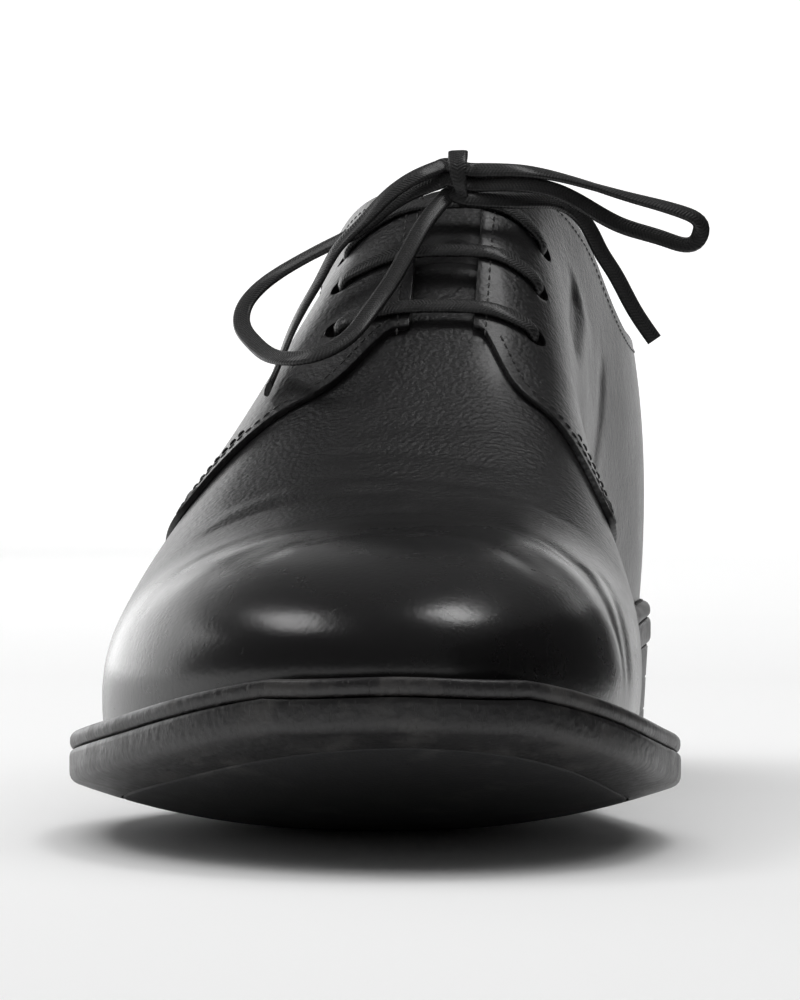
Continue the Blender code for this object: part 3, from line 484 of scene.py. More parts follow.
def eased(value):
    """Rises smoothly from 0 to 1 as the value does: three squares less two cubes."""
    value = np.clip(value, 0, 1)
    return value * value * (3 - 2 * value)


def beside(place, line):
    """Distance of each place from a line of points, and the share of the line's length where it lies."""
    line = np.asarray(line, float)
    flat = place.reshape(-1, 1, 2)
    start, step = line[None, :-1], np.diff(line, axis=0)[None]
    share = np.clip(np.sum((flat - start) * step, -1) / np.sum(step * step, -1), 0, 1)
    distance = np.linalg.norm(flat - start - step * share[..., None], axis=-1)
    nearest = np.argmin(distance, axis=1)
    rows = np.arange(len(flat))
    along = (nearest + share[rows, nearest]) / (len(line) - 1)
    return distance[rows, nearest].reshape(place.shape[:-1]), along.reshape(place.shape[:-1])


def folds(place, table):
    """Sum of soft ridges and troughs, each fading with the distance from its line and at its ends."""
    lift = np.zeros(place.shape[:-1])
    for depth, width, line in table:
        distance, along = beside(place, line)
        ends = eased(along / 0.2) * eased((1 - along) / 0.2)
        lift += depth * np.exp(-(distance / width) ** 2) * ends
    return lift


# Meshes

def put(name, points, faces, finish, stands_for=(), uv=None, sharp=40, weld=2e-6):
    """A piece from points in millimetres, its seams welded, riding on the shoe."""
    mesh = bpy.data.meshes.new(name)
    mesh.from_pydata((np.asarray(points, float).reshape(-1, 3) * MM).tolist(), [], np.asarray(faces).tolist())
    if uv is not None:
        layer = mesh.uv_layers.new(name="along")
        corner = np.empty(len(mesh.loops), int)
        mesh.loops.foreach_get("vertex_index", corner)
        layer.data.foreach_set("uv", np.asarray(uv, float).reshape(-1, 2)[corner].ravel())
    work = bmesh.new()
    work.from_mesh(mesh)
    bmesh.ops.remove_doubles(work, verts=work.verts, dist=weld)
    bmesh.ops.dissolve_degenerate(work, edges=work.edges, dist=1e-7)
    bmesh.ops.recalc_face_normals(work, faces=work.faces)
    work.to_mesh(mesh)
    work.free()
    mesh.shade_smooth()
    mesh.set_sharp_from_angle(angle=np.radians(sharp))
    mesh.materials.append(finish)
    piece = bpy.data.objects.new(name, mesh)
    bpy.context.collection.objects.link(piece)
    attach(piece, "root")
    if stands_for:
        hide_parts(*stands_for)
    return piece


def grid_faces(rows, count, closed_rows=False, closed_count=False, first=0):
    """Faces of a grid of rows by count points, closed either way on request."""
    index = first + np.arange(rows * count).reshape(rows, count)
    if closed_rows:
        index = np.concatenate([index, index[:1]])
    if closed_count:
        index = np.concatenate([index, index[:, :1]], 1)
    return np.stack([index[:-1, :-1], index[:-1, 1:], index[1:, 1:], index[1:, :-1]], -1).reshape(-1, 4)


def outwards(piece, sample, normal):
    """Turns an open sheet's faces so that the one nearest a sample point looks along a normal."""
    mesh = piece.data
    centres = np.empty(len(mesh.polygons) * 3)
    mesh.polygons.foreach_get("center", centres)
    nearest = int(np.argmin(np.linalg.norm(centres.reshape(-1, 3) - np.asarray(sample) * MM, axis=1)))
    if np.dot(mesh.polygons[nearest].normal, normal) < 0:
        mesh.flip_normals()


def thicken(piece, thickness, inner_slot=None, bevel=0.0):
    """A sheet becomes a wall that grows inwards, with its rims rounded."""
    wall = piece.modifiers.new("wall", "SOLIDIFY")
    wall.thickness = thickness * MM
    wall.offset = -1.0
    wall.use_even_offset = False
    if inner_slot is not None:
        wall.material_offset = inner_slot
    if bevel:
        rim = piece.modifiers.new("rim", "BEVEL")
        rim.width = bevel * MM
        rim.segments = 3
        rim.limit_method = "ANGLE"
        rim.angle_limit = np.radians(50)


def settle(piece):
    """Puts a piece's modifiers into its mesh."""
    graph = bpy.context.evaluated_depsgraph_get()
    made = bpy.data.meshes.new_from_object(piece.evaluated_get(graph), depsgraph=graph)
    piece.modifiers.clear()
    old = piece.data
    piece.data = made
    bpy.data.meshes.remove(old)


def cut(piece, points, faces):
    """Cuts a closed shape out of a piece and puts the result into its mesh."""
    mesh = bpy.data.meshes.new("cutter")
    mesh.from_pydata((np.asarray(points).reshape(-1, 3) * MM).tolist(), [], faces)
    work = bmesh.new()
    work.from_mesh(mesh)
    bmesh.ops.remove_doubles(work, verts=work.verts, dist=2e-6)
    bmesh.ops.recalc_face_normals(work, faces=work.faces)
    work.to_mesh(mesh)
    work.free()
    cutter = bpy.data.objects.new("cutter", mesh)
    bpy.context.collection.objects.link(cutter)
    tool = piece.modifiers.new("cut", "BOOLEAN")
    tool.operation = "DIFFERENCE"
    tool.object = cutter
    settle(piece)
    bpy.data.objects.remove(cutter)
    bpy.data.meshes.remove(mesh)


def even_path(path, step, other=None):
    """Points at even steps along a path, and another row of values read at the same places."""
    length = np.concatenate([[0], np.cumsum(np.linalg.norm(np.diff(path, axis=0), axis=1))])
    even = np.linspace(0, length[-1], max(2, int(round(length[-1] / step)) + 1))
    rows = [path] if other is None else [path, other]
    out = [np.stack([np.interp(even, length, row[:, k]) for k in range(row.shape[1])], 1) for row in rows]
    return out[0] if other is None else out


STITCH_RINGS = ((-1.0, 0.0, -0.8), (-0.72, 0.9, -0.4), (0.0, 1.0, -0.2), (0.72, 0.9, -0.4), (1.0, 0.0, -0.8))
STITCH_SIDES = 6


def stitches(path, normals, pitch, length, thickness):
    """A row of stitches: short rods along the path, arched so that both ends dip into the leather."""
    centre, normal = even_path(path, pitch, normals)
    along = np.gradient(centre, axis=0)
    along /= np.linalg.norm(along, axis=1, keepdims=True)
    normal /= np.linalg.norm(normal, axis=1, keepdims=True)
    across = np.cross(along, normal)
    angles = np.arange(STITCH_SIDES) * 2 * np.pi / STITCH_SIDES
    shape = np.array(STITCH_RINGS)
    forward = shape[:, 0] * length / 2
    radius = shape[:, 1] * thickness / 2
    rise = shape[:, 2] * thickness
    points = (centre[:, None, None] + along[:, None, None] * forward[None, :, None, None]
              + across[:, None, None] * (radius[:, None] * np.cos(angles))[None, ..., None]
              + normal[:, None, None] * (radius[:, None] * np.sin(angles) + rise[:, None])[None, ..., None])
    ring = grid_faces(len(shape), STITCH_SIDES, closed_count=True)
    per_stitch = len(shape) * STITCH_SIDES
    faces = ring[None] + (np.arange(len(centre)) * per_stitch)[:, None, None]
    return points.reshape(-1, 3), faces.reshape(-1, 4)


def sewn(name, rows, finish):
    """One piece from rows of stitches, each given by path, normals, pitch, length and thickness."""
    points, faces, count = [], [], 0
    for row in rows:
        made, quads = stitches(*row)
        points.append(made)
        faces.append(quads + count)
        count += len(made)
    return put(name, np.concatenate(points), np.concatenate(faces), finish, sharp=60, weld=1e-7)


# Finishes

def add(tree, kind, inputs=(), **settings):
    """A shader node with its settings, its inputs set to values or linked to other nodes' outputs."""
    made = tree.nodes.new(kind)
    for name, value in settings.items():
        setattr(made, name, value)
    for key, value in dict(inputs).items():
        if isinstance(value, bpy.types.NodeSocket):
            tree.links.new(value, made.inputs[key])
        else:
            made.inputs[key].default_value = value
    return made


def maths(tree, operation, *values):
    return add(tree, "ShaderNodeMath", dict(enumerate(values)), operation=operation).outputs[0]


def ranged(tree, value, low, high, to_low, to_high):
    """A value taken from one range to another, held at the ends."""
    inputs = {"Value": value, "From Min": low, "From Max": high, "To Min": to_low, "To Max": to_high}
    return add(tree, "ShaderNodeMapRange", inputs).outputs["Result"]


def blend(tree, share, first, second):
    made = add(tree, "ShaderNodeMix", data_type="RGBA")
    for key, value in ((0, share), (6, first), (7, second)):
        if isinstance(value, bpy.types.NodeSocket):
            tree.links.new(value, made.inputs[key])
        else:
            made.inputs[key].default_value = (*value, 1.0) if key else value
    return made.outputs[2]


def effect(name, inputs, outputs):
    """An empty shader node group with named inputs (name, kind, default) and outputs (name, kind)."""
    tree = bpy.data.node_groups.new(name, "ShaderNodeTree")
    for label, kind, value in inputs:
        socket = tree.interface.new_socket(name=label, in_out="INPUT", socket_type=kind)
        if value is not None:
            socket.default_value = value
    for label, kind in outputs:
        tree.interface.new_socket(name=label, in_out="OUTPUT", socket_type=kind)
    return tree, tree.nodes.new("NodeGroupInput").outputs, tree.nodes.new("NodeGroupOutput").inputs


def leather_grain():
    """Fine pores and pebbles, with creases across the shoe where Creasing is above 0."""
    tree, given, out = effect(
        "leather_grain",
        [("Vector", "NodeSocketVector", None), ("Scale", "NodeSocketFloat", 900.0),
         ("Creasing", "NodeSocketFloat", 0.0)],
        [("Height", "NodeSocketFloat"), ("Mottle", "NodeSocketFloat")],
    )
    pebbles = add(tree, "ShaderNodeTexVoronoi", {"Vector": given["Vector"], "Scale": given["Scale"]},
                  feature="SMOOTH_F1")
    pebbles.inputs["Smoothness"].default_value = 0.6
    pores = add(tree, "ShaderNodeTexNoise",
                {"Vector": given["Vector"], "Scale": given["Scale"], "Detail": 5.0, "Roughness": 0.6})
    wide = add(tree, "ShaderNodeVectorMath", {0: given["Vector"], 1: (0.16, 1.0, 0.75)}, operation="MULTIPLY")
    lines = add(tree, "ShaderNodeTexNoise", {"Vector": wide.outputs[0], "Scale": 260.0, "Detail": 4.0,
                                             "Roughness": 0.55, "Distortion": 0.5})
    line_height = maths(tree, "MULTIPLY", lines.outputs["Fac"], given["Creasing"])
    fine = maths(tree, "MULTIPLY_ADD", pores.outputs["Fac"], 0.7, line_height)
    height = maths(tree, "MULTIPLY_ADD", pebbles.outputs["Distance"], -0.5, fine)
    tree.links.new(height, out["Height"])
    mottle = add(tree, "ShaderNodeTexNoise", {"Vector": given["Vector"], "Scale": 38.0, "Detail": 6.0,
                                              "Roughness": 0.62})
    tree.links.new(mottle.outputs["Fac"], out["Mottle"])
    return tree


def rubbed():
    """A mask of rubbed spots: broken noise cut off at a level that Amount lowers, streaked by Stretch."""
    tree, given, out = effect(
        "rubbed",
        [("Vector", "NodeSocketVector", None), ("Stretch", "NodeSocketVector", (1.0, 1.0, 1.0)),
         ("Scale", "NodeSocketFloat", 120.0), ("Amount", "NodeSocketFloat", 0.3)],
        [("Mask", "NodeSocketFloat")],
    )
    drawn = add(tree, "ShaderNodeVectorMath", {0: given["Vector"], 1: given["Stretch"]}, operation="MULTIPLY")
    noise = add(tree, "ShaderNodeTexNoise",
                {"Vector": drawn.outputs[0], "Scale": given["Scale"], "Detail": 8.0, "Roughness": 0.7})
    level = maths(tree, "SUBTRACT", 0.72, maths(tree, "MULTIPLY", given["Amount"], 0.5))
    cut_off = maths(tree, "SUBTRACT", noise.outputs["Fac"], level)
    tree.links.new(ranged(tree, cut_off, 0.0, 0.12, 0.0, 1.0), out["Mask"])
    return tree


GRAIN = leather_grain()
RUBBED = rubbed()


def place_effect(tree, group, inputs):
    made = add(tree, "ShaderNodeGroup", node_tree=group)
    for key, value in inputs.items():
        if isinstance(value, bpy.types.NodeSocket):
            tree.links.new(value, made.inputs[key])
        else:
            made.inputs[key].default_value = value
    return made.outputs


def finish(name, **constants):
    """A new material, with the constants set on its shader's own sockets."""
    made = bpy.data.materials.new(name)
    made.use_nodes = True
    tree = made.node_tree
    shader = tree.nodes["Principled BSDF"]
    for key, value in constants.items():
        shader.inputs[key.replace("_", " ").title().replace("Ior", "IOR")].default_value = value
    where = add(tree, "ShaderNodeTexCoord").outputs["Object"]
    return made, tree, shader, where


def bumped(tree, shader, height, strength, distance):
    made = add(tree, "ShaderNodeBump", {"Height": height, "Strength": strength, "Distance": distance})
    tree.links.new(made.outputs[0], shader.inputs["Normal"])


def calf_finish(name, polish, grain, roughness, coat, scuffs):
    """Black calf: the toe polished smooth, the vamp lined across, rubbed spots a little lighter."""
    made, tree, shader, where = finish(name, coat_weight=coat, coat_roughness=0.2)
    parts = add(tree, "ShaderNodeSeparateXYZ", {0: where}).outputs
    toe = ranged(tree, parts["Y"], -0.090, -0.068, polish, 0.0)
    flex = maths(tree, "MULTIPLY", ranged(tree, parts["Y"], -0.082, -0.066, 0.0, 1.0),
                 ranged(tree, parts["Z"], 0.028, 0.044, 0.0, 1.0))
    leather = place_effect(tree, GRAIN, {"Vector": where, "Scale": 1100.0, "Creasing": flex})
    spots = place_effect(tree, RUBBED, {"Vector": where, "Scale": 160.0, "Amount": scuffs})["Mask"]
    smooth = maths(tree, "SUBTRACT", 1.0, maths(tree, "MULTIPLY", toe, 0.85))
    bumped(tree, shader, maths(tree, "MULTIPLY", leather["Height"], smooth), grain, 0.0004)
    shade = blend(tree, leather["Mottle"], (0.0035, 0.0033, 0.0036), (0.0085, 0.0080, 0.0084))
    tree.links.new(blend(tree, maths(tree, "MULTIPLY", spots, 0.5), shade, (0.045, 0.043, 0.042)),
                   shader.inputs["Base Color"])
    rough = ranged(tree, leather["Mottle"], 0.3, 0.7, roughness - 0.05, roughness + 0.07)
    rough = maths(tree, "SUBTRACT", rough, maths(tree, "MULTIPLY", toe, roughness - 0.26))
    tree.links.new(maths(tree, "MULTIPLY_ADD", spots, 0.12, rough), shader.inputs["Roughness"])
    return made


def edge_finish(name, dark, worn, amount, streak):
    """Waxed sole leather, seen on its cut edge: mottled, rubbed grey, with fine upright scratches."""
    made, tree, shader, where = finish(name, coat_weight=0.15, coat_roughness=0.25)
    leather = place_effect(tree, GRAIN, {"Vector": where, "Scale": 700.0, "Creasing": 0.0})
    patches = place_effect(tree, RUBBED, {"Vector": where, "Scale": 95.0, "Amount": amount})["Mask"]
    scratches = place_effect(tree, RUBBED, {"Vector": where, "Stretch": (1.0, 1.0, 0.2), "Scale": 1500.0,
                                            "Amount": streak})["Mask"]
    base = blend(tree, leather["Mottle"], dark, tuple(1.9 * shade for shade in dark))
    base = blend(tree, maths(tree, "MULTIPLY", patches, 0.6), base, worn)
    base = blend(tree, maths(tree, "MULTIPLY", scratches, 0.4), base, tuple(1.4 * shade for shade in worn))
    tree.links.new(base, shader.inputs["Base Color"])
    rough = ranged(tree, leather["Mottle"], 0.3, 0.7, 0.33, 0.52)
    tree.links.new(maths(tree, "MULTIPLY_ADD", patches, 0.14, rough), shader.inputs["Roughness"])
    relief = maths(tree, "MULTIPLY_ADD", scratches, -0.6, leather["Height"])
    bumped(tree, shader, relief, 0.5, 0.0004)
    return made


def plain_leather(name, colour, roughness, grain):
    """Unpolished leather with a fine grain."""
    made, tree, shader, where = finish(name)
    leather = place_effect(tree, GRAIN, {"Vector": where, "Scale": 800.0, "Creasing": 0.0})
    tree.links.new(blend(tree, leather["Mottle"], colour, tuple(1.6 * shade for shade in colour)),
                   shader.inputs["Base Color"])
    tree.links.new(ranged(tree, leather["Mottle"], 0.3, 0.7, roughness - 0.06, roughness + 0.08),
                   shader.inputs["Roughness"])
    bumped(tree, shader, leather["Height"], grain, 0.0004)
    return made


def rubber_finish(name):
    """Matte rubber with rubbed patches."""
    made, tree, shader, where = finish(name)
    leather = place_effect(tree, GRAIN, {"Vector": where, "Scale": 1500.0, "Creasing": 0.0})
    dust = place_effect(tree, RUBBED, {"Vector": where, "Scale": 70.0, "Amount": 0.35})["Mask"]
    base = blend(tree, maths(tree, "MULTIPLY", dust, 0.5), (0.017, 0.017, 0.018), (0.075, 0.073, 0.07))
    tree.links.new(base, shader.inputs["Base Color"])
    tree.links.new(ranged(tree, leather["Mottle"], 0.3, 0.7, 0.58, 0.74), shader.inputs["Roughness"])
    bumped(tree, shader, leather["Height"], 0.35, 0.0003)
    return made


RIB_PITCH = 0.62         # a lace's ribs along it, in millimetres
STRAND_PITCH = 0.42      # and its strands across it


def lace_finish(name):
    """Waxed cotton braid. The mesh's own map is in millimetres; ribs lean two ways from the middle."""
    made, tree, shader, where = finish(name, coat_weight=0.3, coat_roughness=0.22)
    run = add(tree, "ShaderNodeUVMap", uv_map="along").outputs[0]
    parts = add(tree, "ShaderNodeSeparateXYZ", {0: run}).outputs
    leaning = maths(tree, "MULTIPLY_ADD", maths(tree, "ABSOLUTE", parts["X"]), 0.55, parts["Y"])
    ribs = maths(tree, "SINE", maths(tree, "MULTIPLY", leaning, 2 * np.pi / RIB_PITCH))
    threads = maths(tree, "SINE", maths(tree, "MULTIPLY", parts["X"], 2 * np.pi / STRAND_PITCH))
    weave = maths(tree, "MULTIPLY_ADD", threads, 0.35, ribs)
    hairs = add(tree, "ShaderNodeTexNoise", {"Vector": where, "Scale": 1800.0, "Detail": 3.0}).outputs["Fac"]
    bumped(tree, shader, maths(tree, "MULTIPLY_ADD", hairs, 0.8, weave), 0.35, 0.00018)
    # The braid's colour follows the weave's relief: painted shade in its grooves and painted light on its
    # ribs.
    shade = ranged(tree, weave, -1.2, 1.2, 0.0, 1.0)
    colour = blend(tree, shade, (0.004, 0.004, 0.0042), (0.014, 0.0135, 0.0138))
    tree.links.new(colour, shader.inputs["Base Color"])
    tree.links.new(ranged(tree, hairs, 0.3, 0.7, 0.42, 0.6), shader.inputs["Roughness"])
    return made


def thread_finish(name):
    """Waxed sewing thread, a little hairy."""
    made, tree, shader, where = finish(name, roughness=0.42, coat_weight=0.2, coat_roughness=0.3)
    hairs = add(tree, "ShaderNodeTexNoise", {"Vector": where, "Scale": 2600.0, "Detail": 2.0}).outputs["Fac"]
    colour = blend(tree, hairs, (0.010, 0.010, 0.010), (0.034, 0.033, 0.033))
    tree.links.new(colour, shader.inputs["Base Color"])
    bumped(tree, shader, hairs, 0.4, 0.0001)
    return made


calf = calf_finish("black_calf", polish=1.0, grain=0.62, roughness=0.40, coat=0.28, scuffs=0.16)
tongue_leather = calf_finish("tongue_calf", polish=0.0, grain=0.5, roughness=0.46, coat=0.1, scuffs=0.05)
lining_leather = plain_leather("lining_leather", (0.024, 0.022, 0.022), 0.62, 0.35)
sock_leather = plain_leather("sock_leather", (0.042, 0.038, 0.036), 0.6, 0.35)
welt_edge = edge_finish("welt_edge", (0.009, 0.0085, 0.009), (0.055, 0.052, 0.050), amount=0.5, streak=0.3)
sole_edge = edge_finish("sole_edge", (0.008, 0.0076, 0.008), (0.045, 0.043, 0.041), amount=0.42, streak=0.3)
heel_edge = edge_finish("heel_edge", (0.011, 0.0105, 0.011), (0.050, 0.047, 0.045), amount=0.32, streak=0.35)
rubber = rubber_finish("sole_rubber")
waxed_thread = thread_finish("waxed_thread")
lace_cotton = lace_finish("lace_cotton")


# Upper

VAMP_ROWS = 170
VAMP_COLUMNS = 92
TONGUE_START = 148.5     # under the middle lace bar, the vamp goes over into the tongue
SEAT = 0.5               # the upper stands this much into the welt's seam
TONGUE_FALL = 0.15       # tongue under the facings' lining
FALL_START = 2           # the vamp starts to fall to that level this far forward of the throat
FALL_OVER = 13           # and reaches it this much further back

# Folds of the vamp and toe: height in millimetres (a trough is below 0), half width, and the line
# that each follows in (station, side way)
VAMP_FOLDS = [
    (-0.42, 2.6, [(254, -42), (240, -33), (232, -22), (224, -8), (222, 3), (228, 15), (238, 25), (247, 33),
                  (252, 40)]),
    (0.30, 4.0, [(262, -38), (250, -27), (241, -16), (234, -4), (234, 7), (240, 17), (251, 27), (258, 35),
                 (262, 41)]),
    (-0.28, 2.4, [(262, -22), (251, -14), (245, -4), (244, 6), (251, 16), (259, 22), (268, 27)]),
    (-0.26, 1.4, [(240, 31), (247, 34.5), (254, 38.5)]),
    (-0.20, 1.3, [(235, 34), (242, 37), (250, 40.5)]),
    (-0.35, 2.2, [(216, -40), (212, -26), (210, -12), (211, 2)]),
    (-0.25, 2.0, [(205, -34), (203, -20), (204, -6), (207, 8), (212, 22), (218, 33)]),
    (0.22, 2.6, [(209, -36), (207, -20), (207, -4), (209, 10), (214, 24)]),
    (-0.22, 1.8, [(196, -22), (195, -8), (197, 6), (202, 18)]),
    (-0.18, 1.8, [(188, -14), (187, -2), (189, 10)]),
]

# Folds of the quarters, in (station, height) on one side
MEDIAL_FOLDS = [
    (-0.9, 4.0, [(118, 96), (124, 90), (131, 85), (138, 82)]),
    (0.35, 5.0, [(112, 92), (120, 86), (128, 79), (136, 74)]),
    (-0.4, 3.0, [(96, 84), (104, 72), (116, 60), (128, 52)]),
    (-0.35, 3.5, [(150, 70), (160, 62), (170, 56)]),
    (-0.3, 3.0, [(36, 62), (40, 74), (42, 86)]),
]
LATERAL_FOLDS = [
    (-0.55, 4.0, [(116, 96), (124, 88), (134, 80), (146, 72)]),
    (0.3, 5.0, [(108, 90), (118, 80), (130, 70)]),
    (-0.4, 3.2, [(94, 80), (104, 68), (118, 56), (132, 48)]),
    (-0.35, 3.5, [(154, 66), (166, 58), (176, 50)]),
    (-0.3, 3.0, [(34, 60), (38, 72), (40, 86)]),
]
SEAM_DEPTH = 0.45        # back seam's groove
SEAM_WIDTH = 0.8
SEAM_END = 40            # the groove is cut behind this station
FOLD_START = 22          # the vamp's folds begin at this height
FOLD_FADE = 10           # and are whole this much above it


def seated(points):
    """The bottom edge (the first of each row) pressed onto the welt."""
    station = MIDDLE_STATION - points[..., 0, 1]
    way = points[..., 0, 0] + MIDDLE_WAY
    points[..., 0, 2] = feather_height(station, way) - SEAT
    return points


def tongue_share(station):
    """How far the tongue has widened, from its root to its top."""
    return np.clip((TONGUE_ROOT - station) / (TONGUE_ROOT - FACING_TOP), 0, 1)


def tongue_turn(side, station):
    """The turn at the tongue's edge."""
    width = TONGUE_WIDTH / 2 * (TONGUE_NARROWING + (1 - TONGUE_NARROWING) * tongue_share(station))
    return turn_beside_ridge(side, station, width)


def middle_lift(station):
    """Fall from the vamp's surface to the tongue's, under the facings, smooth from one to the other."""
    return -(WALL + TONGUE_FALL) * eased((THROAT + FALL_START - station) / FALL_OVER)


VAMP_BACK = 153.0        # behind this station the vamp's sides leave the welt
VAMP_RISE = 4.5          # and within this much they have risen to the tongue's edges


def make_vamp():
    """The vamp and toe, going over into the tongue between the facings.

    Rows are sections from the lateral side over the ridge to the medial one. Behind the throat their lower
    ends leave the welt and rise to the tongue's edges, under the quarters.
    """
    station = TONGUE_START + (TOE_STATION - TONGUE_START) * np.sin(np.linspace(0, np.pi / 2, VAMP_ROWS))
    rows = np.linspace(0, 1, VAMP_COLUMNS)
    halves = []
    for side in (-1, 1):
        low = tongue_turn(side, station) * eased((VAMP_BACK - station) / VAMP_RISE)
        turn = low[:, None] + (np.pi / 2 - low[:, None]) * rows
        at = np.broadcast_to(outline_at(side, station)[:, None], turn.shape)
        place = form(at, turn)
        folded = folds(place[..., :2], VAMP_FOLDS) * eased((place[..., 2] - FOLD_START) / FOLD_FADE)
        points = on_surface(side, station[:, None], turn, middle_lift(station)[:, None] + folded)[0]
        seat = seated(points.copy())
        halves.append(np.where((low <= 0)[:, None, None], seat, points))
    points = np.concatenate([halves[0], halves[1][:, -2::-1]], 1)
    vamp = put("vamp", points, grid_faces(*points.shape[:2]), calf, ["upper"])
    outwards(vamp, points[VAMP_ROWS // 2, VAMP_COLUMNS], (0, 0, 1))
    vamp.data.materials.append(lining_leather)
    thicken(vamp, WALL - 0.4, inner_slot=1)
    return vamp


def make_tongue():
    """The tongue from the middle lace bar to its rounded top, in line with the vamp."""
    rows = np.linspace(0, 1, VAMP_COLUMNS)
    share = np.linspace(0, 1, 46)[:, None]
    halves = []
    for side in (-1, 1):
        end = FACING_TOP - 1.5 + 7 * (1 - rows) ** 5
        station = TONGUE_START + (end - TONGUE_START) * share
        low = tongue_turn(side, station)
        turn = low + (np.pi / 2 - low) * rows
        halves.append(on_surface(side, station, turn, np.full(turn.shape, -(WALL + TONGUE_FALL)))[0])
    points = np.concatenate([halves[0], halves[1][:, -2::-1]], 1)
    faces = grid_faces(*points.shape[:2])
    tongue = put("tongue_top", points, faces, tongue_leather, ["tongue"])
    outwards(tongue, points[23, VAMP_COLUMNS], (0, 0, 1))
    thicken(tongue, TONGUE, bevel=0.5)
    return tongue


QUARTER_COLUMNS = 280
QUARTER_ROWS = 72


def quarter_grid(columns_count, rows_count, drop=0.0):
    """Stations and turns of both quarters as one sheet, from a front edge by the back seam to the other."""
    front = np.linspace(0, 1, columns_count // 4 + 1)
    facing = THROAT + (FACING_TOP - THROAT) * front
    swept = 1 - np.sin(np.linspace(0, np.pi / 2, columns_count // 4 * 3 + 1))[1:]
    station = np.concatenate([facing, HEEL_STATION + (FACING_TOP - HEEL_STATION) * swept])
    rows = np.linspace(0, 1, rows_count)
    parts = []
    for side in (1, -1):
        top = np.where(station >= FACING_TOP, slot_turn(side, station), topline_turn(side, station)) - drop
        turn = top[:, None] * rows
        parts.append((outline_at(side, bent(side, station[:, None], turn)), turn))
    at = np.concatenate([parts[0][0], parts[1][0][-2::-1]])
    turn = np.concatenate([parts[0][1], parts[1][1][-2::-1]])
    return at, turn


def quarter_lift(at, turn):
    """Listed folds on each side, and the back seam's groove."""
    place = form(at, turn)
    side_view = place[..., [0, 2]]
    medial = place[..., 1] > RIDGE_WAY(place[..., 0] / SOLE_LENGTH) * BALL_WIDTH
    lift = np.where(medial, folds(side_view, MEDIAL_FOLDS), folds(side_view, LATERAL_FOLDS))
    seam = np.exp(-(place[..., 1] / SEAM_WIDTH) ** 2) * (place[..., 0] < SEAM_END)
    return QUARTER + lift - SEAM_DEPTH * seam


def eyelet_holes():
    """Closed cylinders along the surface's normal at the six eyelets."""
    sides = 28
    angles = np.arange(sides) * 2 * np.pi / sides
    points, faces = [], []
    for side in (-1, 1):
        for station in eyelet_stations():
            turn = eyelet_turn(side, station)
            centre, axis = on_surface(side, station, turn, np.array(0.0))
            across = np.cross(axis, (0.0, 1.0, 0.0))
            across /= np.linalg.norm(across)
            ahead = np.cross(axis, across)
            circle = (np.cos(angles)[:, None] * across + np.sin(angles)[:, None] * ahead) * EYELET / 2
            first = len(points) * sides
            points += [centre + circle - axis * 3 * WALL, centre + circle + axis * 4 * QUARTER]
            low, high = first + np.arange(sides), first + sides + np.arange(sides)
            faces += np.stack([low, np.roll(low, -1), np.roll(high, -1), high], 1).tolist()
            faces += [low[::-1].tolist(), high.tolist()]
    return np.concatenate(points), faces


def eyelet_stations():
    return THROAT - EYELETS_BEHIND - EYELET_PITCH * np.arange(EYELET_PAIRS)


def eyelet_turn(side, station):
    """The turn at a hole's centre."""
    distance = FACING_GAP / 2 + EYELET_SETBACK - side * EYELET_SKEW
    return turn_beside_ridge(side, np.asarray(station, float), distance)


def make_quarters():
    """Both quarters in one sheet, a step proud of the vamp, with its folds and eyelets."""
    at, turn = quarter_grid(QUARTER_COLUMNS, QUARTER_ROWS)
    points = seated(skin(at, turn, quarter_lift(at, turn)))
    quarters = put("quarters", points, grid_faces(*points.shape[:2]), calf, ["upper"])
    middle = len(points) // 2
    outwards(quarters, points[middle, 30], (0, 1, 0))
    thicken(quarters, QUARTER, bevel=0.4)
    cut(quarters, *eyelet_holes())
    return quarters


LINING_COLUMNS = 160
LINING_ROWS = 40
LINING_DROP = 0.006      # the lining's top under the topline, as a turn


def make_lining():
    """The quarters' lining, to just under the topline."""
    at, turn = quarter_grid(LINING_COLUMNS, LINING_ROWS, drop=LINING_DROP)
    points = skin(at, turn, quarter_lift(at, turn) - QUARTER - 0.05)
    lining = put("quarter_lining", points, grid_faces(*points.shape[:2]), lining_leather, ["upper"])
    middle = len(points) // 2
    outwards(lining, points[middle, 20], (0, 1, 0))
    thicken(lining, WALL - 0.05, bevel=0.5)
    cut(lining, *eyelet_holes())
    return lining


def set_in(points, normals, distance, towards):
    """A line on the surface moved sideways over it by a distance, to the side of a far point."""
    along = np.gradient(points, axis=0)
    across = np.cross(normals, along)
    across /= np.linalg.norm(across, axis=1, keepdims=True)
    facing = np.sign(np.sum(across * (np.asarray(towards) - points), axis=1, keepdims=True))
    return points + across * facing * distance


STITCH_RISE = 0.08       # a stitch row's line above the leather


def quarter_point(side, station, turn):
    """A place on the quarter's outer surface, with its normal."""
    at, turn = np.broadcast_arrays(outline_at(side, np.asarray(station, float)), np.asarray(turn, float))
    return skin(at, turn, quarter_lift(at, turn) + STITCH_RISE), outward(at, turn)


FACING_ROW = 2.1         # stitch row inside the facing's and the front edge's rim
FRONT_ROWS = (2.1, 3.9)
TOPLINE_ROW = 2.4
SEAM_ROWS = 2.2
STITCH = (2.15, 1.75, 0.42)  # pitch, length and thickness of the upper's stitches
WELT_STITCH = (3.1, 2.5, 0.7)
TACK = (3.0, 2.6, 0.5)   # and of a bar-tack's
TACK_ROWS = (0.6, 4.2, 8)  # a bar-tack's first and last row inside the edge, and how many
TACK_TURN = 47.5         # where it stands on the front edge, in degrees
CORNER_TURNS = (20, 61)  # the second row's stretch of that edge


